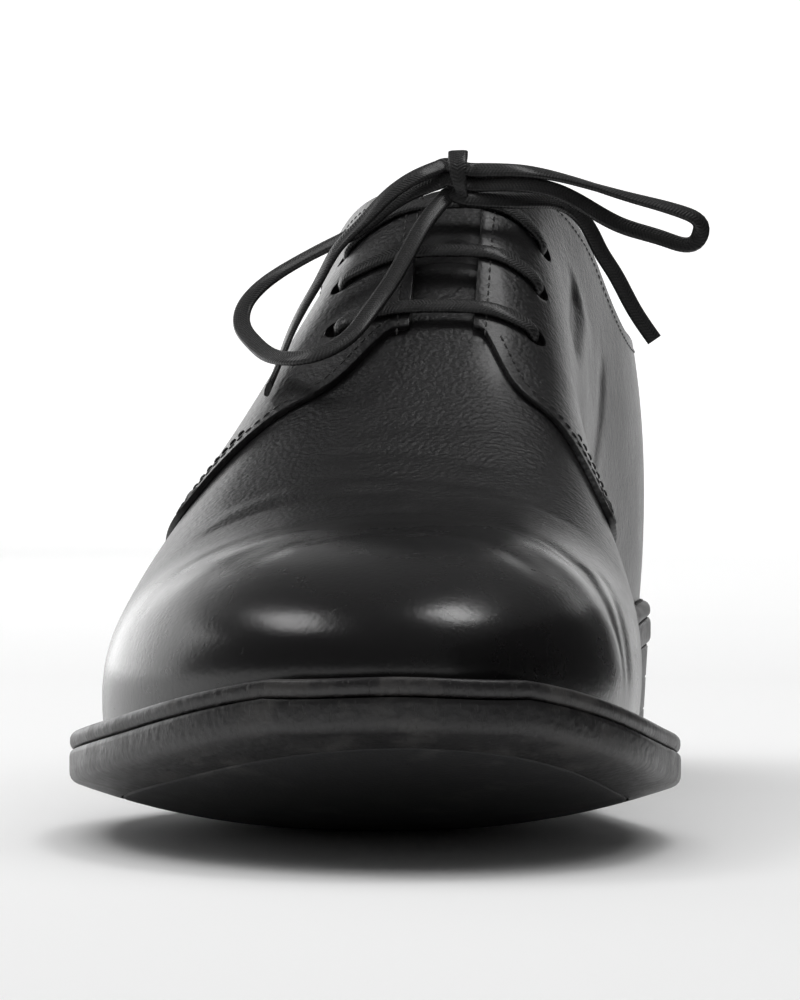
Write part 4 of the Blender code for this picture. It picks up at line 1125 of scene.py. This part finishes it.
def upper_seams():
    """Stitches beside the facings, front edges, topline and back seam, and a bar-tack at each corner."""
    rows = []
    for side in (-1, 1):
        middle = quarter_point(side, 110.0, 0.9)[0]
        station = np.linspace(FACING_TOP + 2.5, THROAT + 1.0, 60)
        turn = turn_beside_ridge(side, station, FACING_GAP / 2 + FACING_ROW)
        rows.append((*quarter_point(side, station, turn), *STITCH))
        turn = np.linspace(turn_beside_ridge(side, np.array(THROAT), FACING_GAP / 2 + 3), 0.10, 200)
        edge, normal = quarter_point(side, THROAT + front_edge_shift(side, turn), turn)
        rows.append((set_in(edge, normal, FRONT_ROWS[0], middle), normal, *STITCH))
        corner = (turn > np.radians(CORNER_TURNS[0])) & (turn < np.radians(CORNER_TURNS[1]))
        rows.append((set_in(edge, normal, FRONT_ROWS[1], middle)[corner], normal[corner], *STITCH))
        at_corner = int(np.argmin(np.abs(turn - np.radians(TACK_TURN))))
        for step in np.linspace(*TACK_ROWS):
            tack = set_in(edge, normal, step, middle)[at_corner - 5:at_corner + 6]
            rows.append((tack, normal[at_corner - 5:at_corner + 6], *TACK))
        back = (1 - np.sin(np.linspace(0, np.pi / 2, 160))) * (FACING_TOP - 3)
        top, normal = quarter_point(side, back, topline_turn(side, back))
        rows.append((set_in(top, normal, TOPLINE_ROW, (0, top[:, 1].mean(), -200)), normal, *STITCH))
        rise = np.linspace(0.12, float(topline_turn(side, np.array(0.5))) - 0.05, 60)
        seam = outline_at(side, np.full_like(rise, HEEL_STATION))
        place = form(seam, rise)
        beside_seam = world(place) + outward(seam, rise) * (QUARTER + 0.05)
        beside_seam[:, 0] += side * SEAM_ROWS
        beside_seam[:, 1] -= 0.06
        rows.append((beside_seam, outward(seam, rise), *STITCH))
    return rows


# Sole

RING = 420


def feather(at):
    return wall_values(at, 0) * WELT_REACH


def swept_ring(name, profile, height, material, stands_for):
    """A ring round the welt's outline: a profile of (inset, rise) carried along it over a height field."""
    at = np.linspace(0, 1, RING + 1)[:-1]
    points = []
    for distance, rise in profile:
        reach = distance(at) if callable(distance) else np.full_like(at, distance)
        flat = inset(at, reach)
        points.append(world(np.concatenate([flat, (height(flat[:, 0], flat[:, 1]) + rise)[:, None]], 1)))
    points = np.stack(points, 1)
    faces = grid_faces(*points.shape[:2], closed_rows=True, closed_count=True)
    return put(name, points, faces, material, stands_for)


def make_welt():
    """The welt's strip, with a rounded top corner, an undercut lower edge and a groove beside the upper."""
    low, high = OUTSOLE + CLEAR, OUTSOLE + CLEAR + WELT
    profile = [
        (0.75, low), (0.42, low + 0.12), (0.18, low + 0.45), (0.08, low + 0.95), (0.12, high - 1.35),
        (0.30, high - 0.85), (0.62, high - 0.40), (1.05, high - 0.10), (1.6, high),
        (lambda at: feather(at) * 0.5, high + 0.05), (lambda at: feather(at) * 0.78, high - 0.05),
        (lambda at: feather(at) * 0.92, high - 0.35), (lambda at: feather(at) * 1.05, high - 0.35),
        (lambda at: feather(at) + WALL + WELT_LAP, high), (lambda at: feather(at) + WALL + WELT_LAP, low),
        (lambda at: feather(at) + WALL, low), (lambda at: feather(at) * 0.6, low),
    ]
    return swept_ring("welt_strip", profile, underside, welt_edge, ["welt"])


def welt_seam():
    """The row of stitches that shows on top of the welt, all the way round."""
    at = np.linspace(0, 1, 900)
    flat = inset(at, feather(at) * 0.52)
    height = feather_height(flat[:, 0], flat[:, 1]) - CLEAR + 0.12
    path = world(np.concatenate([flat, height[:, None]], 1))
    return path, np.tile((0.0, 0.0, 1.0), (len(path), 1)), *WELT_STITCH


def inwards_of(line):
    """Unit normals of a closed line of points, to its inside."""
    along = np.roll(line, -1, 0) - np.roll(line, 1, 0)
    along /= np.linalg.norm(along, axis=1, keepdims=True)
    return np.stack([-along[:, 1], along[:, 0]], 1)


def plate_loops(line, rim, rings, under, thickness):
    """Closed loops of a plate: from its underside's middle out to its edge, up the rim and back over its top.

    A rim loop is the outline set in by a distance, at a rise above the underside. Rings shrink towards the
    middles of the paired points of the outline, whose second half mirrors the first.
    """
    normal = inwards_of(line)
    partner = -np.arange(len(line)) % len(line)

    def shrunk(by, ring):
        """The outline set in by a distance, and drawn towards its middle line."""
        edge = line + normal * by
        axis = (edge + edge[partner]) / 2
        axis[:, 0] = np.clip(axis[:, 0], line[:, 0].min() + AXIS_END, line[:, 0].max() - AXIS_END)
        return axis + (edge - axis) * ring

    loops = [(shrunk(rim[0][0], ring), rim[0][1]) for ring in rings[::-1]]
    loops += [(line + normal * by, rise) for by, rise in rim[1:-1]]
    loops += [(shrunk(rim[-1][0], ring), thickness) for ring in rings]
    points = []
    for flat, rise in loops:
        points.append(np.concatenate([flat, (under(flat[:, 0], flat[:, 1]) + rise)[:, None]], 1))
    return world(np.stack(points))


def make_plate(name, line, rim, rings, under, thickness, material, stands_for):
    points = plate_loops(line, rim, rings, under, thickness)
    return put(name, points, grid_faces(*points.shape[:2], closed_count=True), material, stands_for)


def paired_outline(count):
    """Outline parameters in lateral and medial pairs at equal stations, closed round the heel and the toe."""
    share = (1 - np.cos(np.linspace(0, np.pi, count + 1))) / 2
    station = HEEL_STATION + (TOE_STATION - HEEL_STATION) * share
    return np.concatenate([outline_at(-1, station), outline_at(1, station)[-2:0:-1]])


def insert_outline(border, stations=110, arc_points=24):
    """The rubber's outline: the welt's, inset, and closed across by an arc at its rear end."""
    start = INSERT_START + border - INSERT_BORDER
    toe = inset(TIP, border)[0]
    share = (1 - np.cos(np.linspace(0, np.pi, stations + 1))) / 2
    station = start + (TOE_STATION - start) * share
    lateral = inset(outline_at(-1, station), border)
    medial = inset(outline_at(1, station), border)
    lateral[-1, 0] = medial[-1, 0] = toe
    middle = (lateral[0] + medial[0]) / 2
    across = np.linspace(0, 1, arc_points)[1:-1, None]
    arcs = []
    for corner in (lateral[0], medial[0]):
        arc = middle + (corner - middle) * across
        arc[:, :1] += BREAST_HOLLOW * (1 - across**2)
        arcs.append(arc)
    return np.concatenate([[middle + (BREAST_HOLLOW, 0)], arcs[0], lateral, medial[-2::-1], arcs[1][::-1]])


FINE_RINGS = (1.0, 0.96, 0.88, 0.78, 0.66, 0.52, 0.38, 0.22, 0.0)


def make_sole():
    """Outsole with its rounded edge and recess, forepart rubber and insole."""
    at = paired_outline(230)
    rim = [(1.5, 0.0), (0.8, 0.10), (0.32, 0.42), (0.06, 1.0), (0.0, 1.7), (0.0, OUTSOLE - 1.2),
           (0.10, OUTSOLE - 0.6), (0.38, OUTSOLE - 0.15), (0.8, OUTSOLE)]
    outsole = make_plate("outsole_leather", WELT_LINE(at), rim, FINE_RINGS, underside, OUTSOLE, sole_edge,
                         ["outsole"])
    recess = plate_loops(insert_outline(INSERT_BORDER - 0.35), [(0.0, 0.0), (0.0, INSERT + 0.1)], FINE_RINGS,
                         lambda s, w: underside(s, w) - INSERT, 2 * INSERT + 0.1)
    cut(outsole, recess, grid_faces(*recess.shape[:2], closed_count=True).tolist())
    outsole.data.shade_smooth()
    outsole.data.set_sharp_from_angle(angle=np.radians(40))
    edge = [(0.5, 0.0), (0.15, 0.10), (0.0, 0.45), (0.0, INSERT - 0.2), (0.1, INSERT)]
    make_plate("forepart_rubber", insert_outline(INSERT_BORDER), edge, FINE_RINGS, underside, INSERT, rubber,
               ["forepart_insert"])
    board = inset(at, feather(at) + WALL + INSOLE_PLAY)
    soft = [(0.2, 0.0), (0.0, 0.3), (0.0, INSOLE - 0.9), (0.25, INSOLE - 0.3), (0.9, INSOLE)]
    make_plate("insole_sock", board, soft, FINE_RINGS, feather_height, INSOLE, sock_leather,
               ["insole"])


LIFTS = 3                # layers of the heel stack


def make_heel():
    """Heel stack of three lifts with fine grooves between them, and the rubber top piece under it."""
    share = 1 - np.cos(np.linspace(0, np.pi / 2, 90))
    station = HEEL_STATION + (HEEL_BREAST - HEEL_STATION) * share
    lateral = inset(outline_at(-1, station), HEEL_INSET)
    medial = inset(outline_at(1, station), HEEL_INSET)
    across = np.linspace(0, 1, 40)[1:-1, None]
    breast = lateral[-1] + (medial[-1] - lateral[-1]) * across
    half = (medial[-1, 1] - lateral[-1, 1]) / 2
    breast[:, 0] -= BREAST_HOLLOW * (1 - ((breast[:, 1] - breast[:, 1].mean()) / half) ** 2)
    line = np.concatenate([lateral, breast, medial[:0:-1]])
    normal = inwards_of(line)
    centre = np.array([HEEL_BREAST * HEEL_CENTRE, 0.0])
    joint = HEEL_TAPER + (1 - HEEL_TAPER) * TOP_PIECE / HEEL_HEIGHT

    def loop(shrink, inwards, height, ring=1.0):
        flat = centre + (line + normal * inwards - centre) * shrink * ring
        return world(np.concatenate([flat, np.broadcast_to(height(flat), (len(flat),))[:, None]], 1))

    def level(height):
        return lambda flat: height

    def stack_height(share):
        return lambda flat: TOP_PIECE + (underside(flat[:, 0], flat[:, 1]) - CLEAR - TOP_PIECE) * share

    top_piece = [loop(HEEL_TAPER, 0.5, level(0.0), ring) for ring in (0.0, 0.4, 0.8)]
    crown = TOP_PIECE - CLEAR
    for by, height in ((0.5, 0.0), (0.15, 0.12), (0.0, 0.5), (0.0, crown - 0.25), (0.15, crown)):
        top_piece.append(loop(HEEL_TAPER + (joint - HEEL_TAPER) * height / TOP_PIECE, by, level(height)))
    top_piece += [loop(joint, 0.15, level(crown), ring) for ring in (0.6, 0.0)]
    stack = [loop(joint, 0.2, stack_height(0.0), ring) for ring in (0.0, 0.6, 1.0)]
    for lift in range(LIFTS):
        for share, by in ((0.02, 0.2), (0.06, 0.0), (0.5, 0.0), (0.94, 0.0), (0.98, 0.2)):
            rise = (lift + share) / LIFTS
            stack.append(loop(joint + (1 - joint) * rise, by, stack_height(rise)))
    stack += [loop(1.0, 0.2, stack_height(1.0), ring) for ring in (1.0, 0.6, 0.0)]
    for name, loops, material, slot, node in (
        ("heel_rubber", top_piece, rubber, "sole_rubber", "heel_top_piece"),
        ("heel_lifts", stack, heel_edge, "heel_leather", "heel_stack"),
    ):
        points = np.stack(loops)
        put(name, points, grid_faces(*points.shape[:2], closed_count=True), material, [node], sharp=50)


make_vamp()
make_tongue()
make_quarters()
make_lining()
sewn("upper_stitching", upper_seams(), waxed_thread)
make_welt()
sewn("welt_stitching", [welt_seam()], waxed_thread)
make_sole()
make_heel()


# Laces

LACE_SIDES = 16
LACE_SQUARENESS = 0.6


def lace_mesh(name, path, up, stands_for, width=1.0, thickness=1.0):
    """A flat lace: a rounded oblong carried along a path, its broad side up. Its map is in millimetres."""
    along = np.gradient(path, axis=0)
    along /= np.linalg.norm(along, axis=1, keepdims=True)
    up = up - along * np.sum(along * up, axis=1, keepdims=True)
    up /= np.linalg.norm(up, axis=1, keepdims=True)
    across = np.cross(along, up)
    angles = np.arange(LACE_SIDES) * 2 * np.pi / LACE_SIDES
    wide = np.sign(np.cos(angles)) * np.abs(np.cos(angles)) ** LACE_SQUARENESS * LACE_WIDTH / 2
    thick = np.sign(np.sin(angles)) * np.abs(np.sin(angles)) ** LACE_SQUARENESS * LACE_THICKNESS / 2
    wide = wide[None, :] * np.broadcast_to(width, len(path))[:, None]
    thick = thick[None, :] * np.broadcast_to(thickness, len(path))[:, None]
    points = path[:, None] + across[:, None] * wide[..., None] + up[:, None] * thick[..., None]
    middles = [np.broadcast_to(path[end], points[end].shape) for end in (0, -1)]
    points = np.concatenate([middles[0][None], points, middles[1][None]])
    length = np.concatenate([[0], np.cumsum(np.linalg.norm(np.diff(path, axis=0), axis=1))])
    length = np.concatenate([length[:1], length, length[-1:]])
    wide = np.concatenate([wide[:1], wide, wide[-1:]])
    uv = np.stack([wide, np.repeat(length[:, None], LACE_SIDES, 1)], -1)
    faces = grid_faces(*points.shape[:2], closed_count=True)
    return put(name, points, faces, lace_cotton, stands_for, uv=uv, sharp=55, weld=1e-7)


def smoothed(path, rounds):
    """A path with each inner point drawn towards its neighbours' middle."""
    path = path.copy()
    for _ in range(rounds):
        path[1:-1] = path[1:-1] / 2 + (path[:-2] + path[2:]) / 4
    return path


BAR_LIFT = QUARTER + LACE_THICKNESS / 2 + 0.1  # middle of a lace bar above the vamp's surface
GATHERED = 0.6           # a bar's width in its eyelets, as a share of the lace's
THICKENED = 0.35         # and what it gains there in thickness
GATHER_FROM = 2.5        # a bar is gathered within this much of its ends
GATHER_OVER = 4.5        # and flat this much further on
# A bar's way out of a hole: distance from the hole's middle towards the ridge, height off the surface, and
# how far its broad side has turned outwards
BAR_DIVE = [
    (-0.55, -3.4, 0.0), (-0.5, -1.6, 0.0), (-0.35, 0.2, 0.15), (0.1, 1.25, 0.5),
    (1.0, BAR_LIFT + 0.05, 0.85), (2.2, BAR_LIFT + 0.1, 1.0),
]


def make_bar(number, station):
    """A bar: out of one hole, flat over the facings and down the other hole, gathered in both."""
    path, up = [], []
    for side in (-1, 1):
        turn = eyelet_turn(side, station)
        edge = float(slot_turn(side, np.array(station)))
        hole, axis = on_surface(side, station, turn, np.array(0.0))
        inwards = on_surface(side, station, turn + np.radians(1), np.array(0.0))[0] - hole
        inwards /= np.linalg.norm(inwards)
        run = [hole + inwards * along + axis * lift for along, lift, _ in BAR_DIVE]
        faces = [axis * flat - inwards * (1 - flat) for _, _, flat in BAR_DIVE]
        turns = np.linspace(float(turn), edge, 9)[2:]
        rest, normals = on_surface(side, station, turns, np.full(len(turns), BAR_LIFT))
        run += list(rest)
        faces += list(normals)
        path += run if side < 0 else run[::-1]
        up += faces if side < 0 else faces[::-1]
    path, up = even_path(smoothed(np.array(path), 2), 0.45, np.array(up))
    length = np.linalg.norm(path - path[0], axis=1)
    ends = np.minimum(length, np.linalg.norm(path - path[-1], axis=1))
    flat = eased((ends - GATHER_FROM) / GATHER_OVER)
    width = GATHERED + (1 - GATHERED) * flat
    thickness = 1 + THICKENED - THICKENED * flat
    return lace_mesh(f"lace_crossing_{number}", path, up, [f"lace_bar_{number}"], width, thickness)


def run_points(route):
    """Even points along a smooth curve through a route, 0.7 mm apart, and its length."""
    route = np.array(route, float)
    steps = np.linalg.norm(np.diff(route, axis=0), axis=1)
    knots = np.concatenate([[0], np.cumsum(steps)])
    fine = spline(knots, route)(np.linspace(0, knots[-1], 1200))
    length = float(np.sum(np.linalg.norm(np.diff(fine, axis=0), axis=1)))
    return even_path(fine, 0.7), length


def free_run(name, route, node, leans):
    """A free run of the lace as a flat ribbon, its broad side leaning as given at each end."""
    path, length = run_points(route)
    path = world(path)
    share = np.linspace(0, 1, len(path))[:, None]
    knots = np.linspace(0, 1, len(leans))
    up = np.stack([np.interp(share[:, 0], knots, np.array(leans, float)[:, k]) for k in range(3)], 1)
    piece = lace_mesh(name, path, up, [node])
    return piece


def knot_place():
    """Middle of the bow's knot, in millimetres."""
    lift = QUARTER + CLEAR + LACE_THICKNESS + CLEAR + KNOT[2]
    return on_surface(1, eyelet_stations()[-1], np.pi / 2, np.array(lift))[0] + np.array([KNOT_WAY, 0, 0])


TOWARDS_CAMERA = (0.05, -0.8, 0.6)
STRANDS = [(END_LEFT[0], END_LEFT[1], LOOP_RIGHT[0], LOOP_RIGHT[1]),
           (LOOP_LEFT[0], LOOP_LEFT[1], LOOP_RIGHT[-1], LOOP_RIGHT[-2]),
           (LOOP_LEFT[-1], LOOP_LEFT[-2], END_RIGHT[0], END_RIGHT[1])]
# The turn drawn tight over the strands, from its short end down: place round the knot's middle, width
KNOT_TURN = [(-0.2, -1.4, 4.9, 1.15), (-0.1, -3.2, 3.6, 1.12), (0.0, -4.9, 1.7, 1.0), (0.3, -5.3, -0.3, 0.86),
             (0.7, -5.1, -2.2, 0.7), (0.9, -4.1, -3.9, 0.62), (0.9, -2.4, -4.7, 0.6), (0.8, -0.8, -4.2, 0.6)]
OVERLAP = 0.9            # a strand of the knot runs this far inside the free run that it joins
STRAND_SLIM = 0.985      # and is this much of its width there
STRAND_RUN = 1.2         # it keeps the run's direction this far into the knot
STRAND_BULGE = (0, -0.5, 0.25)  # and then passes this far off the straight line


def make_knot():
    """The bow's knot: strands that join its free runs, a core behind them and one tight turn over them."""
    pieces = []
    for number, strand in enumerate(STRANDS, 1):
        left, left_next, right, right_next = world(np.array(strand))
        out_left = (left_next - left) / np.linalg.norm(left_next - left)
        out_right = (right_next - right) / np.linalg.norm(right_next - right)
        middle = (left + right) / 2 + STRAND_BULGE
        route = np.array([left + out_left * OVERLAP, left, left - out_left * STRAND_RUN, middle,
                          right - out_right * STRAND_RUN, right, right + out_right * OVERLAP])
        steps = np.concatenate([[0], np.cumsum(np.linalg.norm(np.diff(route, axis=0), axis=1))])
        path = even_path(spline(steps, route)(np.linspace(0, steps[-1], 200)), 0.35)
        facing = np.tile(TOWARDS_CAMERA, (len(path), 1))
        name = f"knot_strand_{number}"
        pieces.append(lace_mesh(name, path, facing, ["lace_knot"], STRAND_SLIM, STRAND_SLIM))
    centre = knot_place()
    turn = np.array(KNOT_TURN)
    steps = np.concatenate([[0], np.cumsum(np.linalg.norm(np.diff(turn[:, :3], axis=0), axis=1))])
    fine = spline(steps, turn)(np.linspace(0, steps[-1], 60))
    facing = np.cross(np.gradient(fine[:, :3], axis=0), (1.0, 0.0, 0.0))
    facing *= np.sign(np.sum(facing * (fine[:, :3] - (0, 0.5, -0.5)), axis=1, keepdims=True))
    pieces.append(lace_mesh("knot_turn", centre + fine[:, :3], facing, ["lace_knot"], fine[:, 3], 0.95))
    share = np.linspace(-1, 1, 30)
    core = np.stack([0.8 + 3.0 * share, -0.6 + 0 * share, -0.7 + 0.3 * np.cos(2 * share)], 1)
    bulge = np.sqrt(np.clip(1 - share**2 * 0.8, 0.05, 1))
    facing = np.tile((0.0, -1.0, 0.0), (len(core), 1))
    pieces.append(lace_mesh("knot_core", centre + core, facing, ["lace_knot"], 1.9 * bulge, 3.0 * bulge))
    return pieces


for number, station in enumerate(eyelet_stations(), 1):
    make_bar(number, station)
knot_pieces = make_knot()
UPWARDS = (0.0, -0.35, 0.95)
free_run("lace_left_loop", LOOP_LEFT, "lace_loop_left",
         [TOWARDS_CAMERA, (-0.1, -0.6, 0.8), (-0.3, -0.6, 0.7), (0.0, -0.8, 0.6), TOWARDS_CAMERA])
free_run("lace_left_end", END_LEFT, "lace_end_left",
         [TOWARDS_CAMERA, (-0.6, -0.4, 0.6), (-0.95, -0.2, 0.2)])
free_run("lace_right_loop", LOOP_RIGHT, "lace_loop_right",
         [TOWARDS_CAMERA, UPWARDS, (0.2, -0.8, 0.6), (0.1, -0.9, 0.3), TOWARDS_CAMERA])
free_run("lace_right_end", END_RIGHT, "lace_end_right",
         [TOWARDS_CAMERA, (0.3, -0.8, 0.5), (0.5, -0.8, 0.3)])


# Studio

# The paper sheet, in millimetres
SHEET_FRONT = 4500.0     # in front of the shoe
SHEET_HALF = 4500.0      # to either side
SHEET_REAR = 3000.0      # it starts to rise this far behind the shoe
SHEET_BEND = 700.0       # radius of its bend
SHEET_TOP = 2000.0       # its back's height
CONTACT = 0.1            # the floor lies this far under the sole, so that the two don't share a plane
PAPER = 0.86             # how much light the paper sends back
GLOW = 0.62              # painted glow that the paper itself gives out at the back, as if light came through it
GLOW_BACK = (0.5, 3.2)   # the glow grows between these distances behind the shoe, in metres
GLOW_HEIGHT = (0.9, 1.9)  # and fades between these heights

# The black card: its near and far ends on the floor, and its height, in millimetres
CARD_ENDS = ((145, -330), (360, 900))
CARD_HEIGHT = 230
CARD = 0.01


def panel(name, centre, aim, size, power, mirrored=True):
    """A soft rectangular light at a place, aimed at a point."""
    data = bpy.data.lights.new(name, "AREA")
    data.shape = "RECTANGLE"
    data.size, data.size_y = size
    data.energy = power
    light = bpy.data.objects.new(name, data)
    light.location = centre
    light.rotation_euler = (Vector(aim) - Vector(centre)).to_track_quat("-Z", "Y").to_euler()
    light.visible_glossy = mirrored
    light.visible_camera = False
    bpy.context.collection.objects.link(light)
    return light


def make_backdrop():
    """Floor and back wall in one pale sheet with a wide bend between them, its back glowing with painted
    light as if lit through from behind.
    """
    bend = np.linspace(0, np.pi / 2, 24)
    profile = [(-SHEET_FRONT, 0.0)]
    profile += [(SHEET_REAR + SHEET_BEND * np.sin(a), SHEET_BEND * (1 - np.cos(a))) for a in bend]
    profile.append((SHEET_REAR + SHEET_BEND, SHEET_TOP))
    points = np.array([[(x, y, z - CONTACT) for y, z in profile] for x in (-SHEET_HALF, SHEET_HALF)])
    mesh = bpy.data.meshes.new("backdrop")
    mesh.from_pydata((points.reshape(-1, 3) * MM).tolist(), [], grid_faces(*points.shape[:2]).tolist())
    mesh.shade_smooth()
    paper, tree, shader, where = finish("paper", roughness=0.9)
    shader.inputs["Base Color"].default_value = (PAPER, PAPER, PAPER, 1.0)
    # The paper's back glows by its own emission: painted light, with no lamp behind it.
    split = add(tree, "ShaderNodeSeparateXYZ", {"Vector": where})
    back = ranged(tree, split.outputs["Y"], *GLOW_BACK, 0.0, GLOW)
    low = ranged(tree, split.outputs["Z"], *GLOW_HEIGHT, 1.0, 0.0)
    glow = add(tree, "ShaderNodeCombineXYZ", dict.fromkeys("XYZ", maths(tree, "MULTIPLY", back, low)))
    tree.links.new(glow.outputs["Vector"], shader.inputs["Emission Color"])
    shader.inputs["Emission Strength"].default_value = 1.0
    mesh.materials.append(paper)
    sheet = bpy.data.objects.new("backdrop", mesh)
    bpy.context.collection.objects.link(sheet)
    outwards(sheet, (0, 0, 0), (0, 0, 1))


def make_room(seen, lit):
    """The room round the sheet: pale where the camera sees it, dim in its light on the shoe."""
    room = bpy.data.worlds.new("room")
    room.use_nodes = True
    tree = room.node_tree
    ray = tree.nodes.new("ShaderNodeLightPath")
    pale, dim = tree.nodes["Background"], tree.nodes.new("ShaderNodeBackground")
    for background, strength in ((pale, seen), (dim, lit)):
        background.inputs["Color"].default_value = (1, 1, 1, 1)
        background.inputs["Strength"].default_value = strength
    mix = tree.nodes.new("ShaderNodeMixShader")
    tree.links.new(ray.outputs["Is Camera Ray"], mix.inputs["Fac"])
    tree.links.new(dim.outputs["Background"], mix.inputs[1])
    tree.links.new(pale.outputs["Background"], mix.inputs[2])
    tree.links.new(mix.outputs["Shader"], tree.nodes["World Output"].inputs["Surface"])
    bpy.context.scene.world = room


def make_flag():
    """A black card that stands to the shoe's right, where its pair would, seen in reflections alone."""
    near, far = CARD_ENDS
    corners = [(*near, 0), (*far, 0), (*far, CARD_HEIGHT), (*near, CARD_HEIGHT)]
    mesh = bpy.data.meshes.new("flag")
    mesh.from_pydata((np.array(corners, float) * MM).tolist(), [], [(0, 1, 2, 3)])
    card, _, shader, _ = finish("black_card", roughness=0.9)
    shader.inputs["Base Color"].default_value = (CARD, CARD, CARD, 1.0)
    mesh.materials.append(card)
    flag = bpy.data.objects.new("flag", mesh)
    for ray in ("camera", "diffuse", "shadow", "transmission"):
        setattr(flag, f"visible_{ray}", False)
    bpy.context.collection.objects.link(flag)


make_backdrop()
make_room(seen=0.92, lit=0.10)
bpy.context.scene.view_settings.view_transform = "Standard"

# Lights: place, aim and size in metres, then watts
TOE = (0.0, -0.12, 0.04)
panel("softbox_right", (0.27, 0.20, 1.25), TOE, (0.42, 0.26), 2.2)
panel("softbox_left", (-0.70, 0.12, 1.00), TOE, (0.46, 0.28), 1.5)
panel("window_left", (-1.25, 1.15, 0.45), TOE, (1.6, 1.0), 7.0)
panel("overhead", (0.0, 0.2, 2.2), (0.0, 0.2, 0.0), (4.0, 4.0), 70.0, mirrored=False)
make_flag()

CAMERA_PLACE = (83.0, -903.9, 66.0)  # in millimetres
CAMERA_TILT = -0.65      # degrees up from level
CAMERA_TURN = 5.35       # degrees to the left of straight back
FOCAL_PIXELS = 5000.0
PICTURE_WIDTH = 800.0

camera_data = bpy.data.cameras.new("camera")
camera_data.sensor_fit = "HORIZONTAL"
camera_data.sensor_width = 36.0
camera_data.lens = FOCAL_PIXELS / PICTURE_WIDTH * camera_data.sensor_width
camera = bpy.data.objects.new("camera", camera_data)
camera.location = np.array(CAMERA_PLACE) * MM
camera.rotation_euler = (np.radians(90 + CAMERA_TILT), 0, np.radians(CAMERA_TURN))
bpy.context.collection.objects.link(camera)
bpy.context.scene.camera = camera
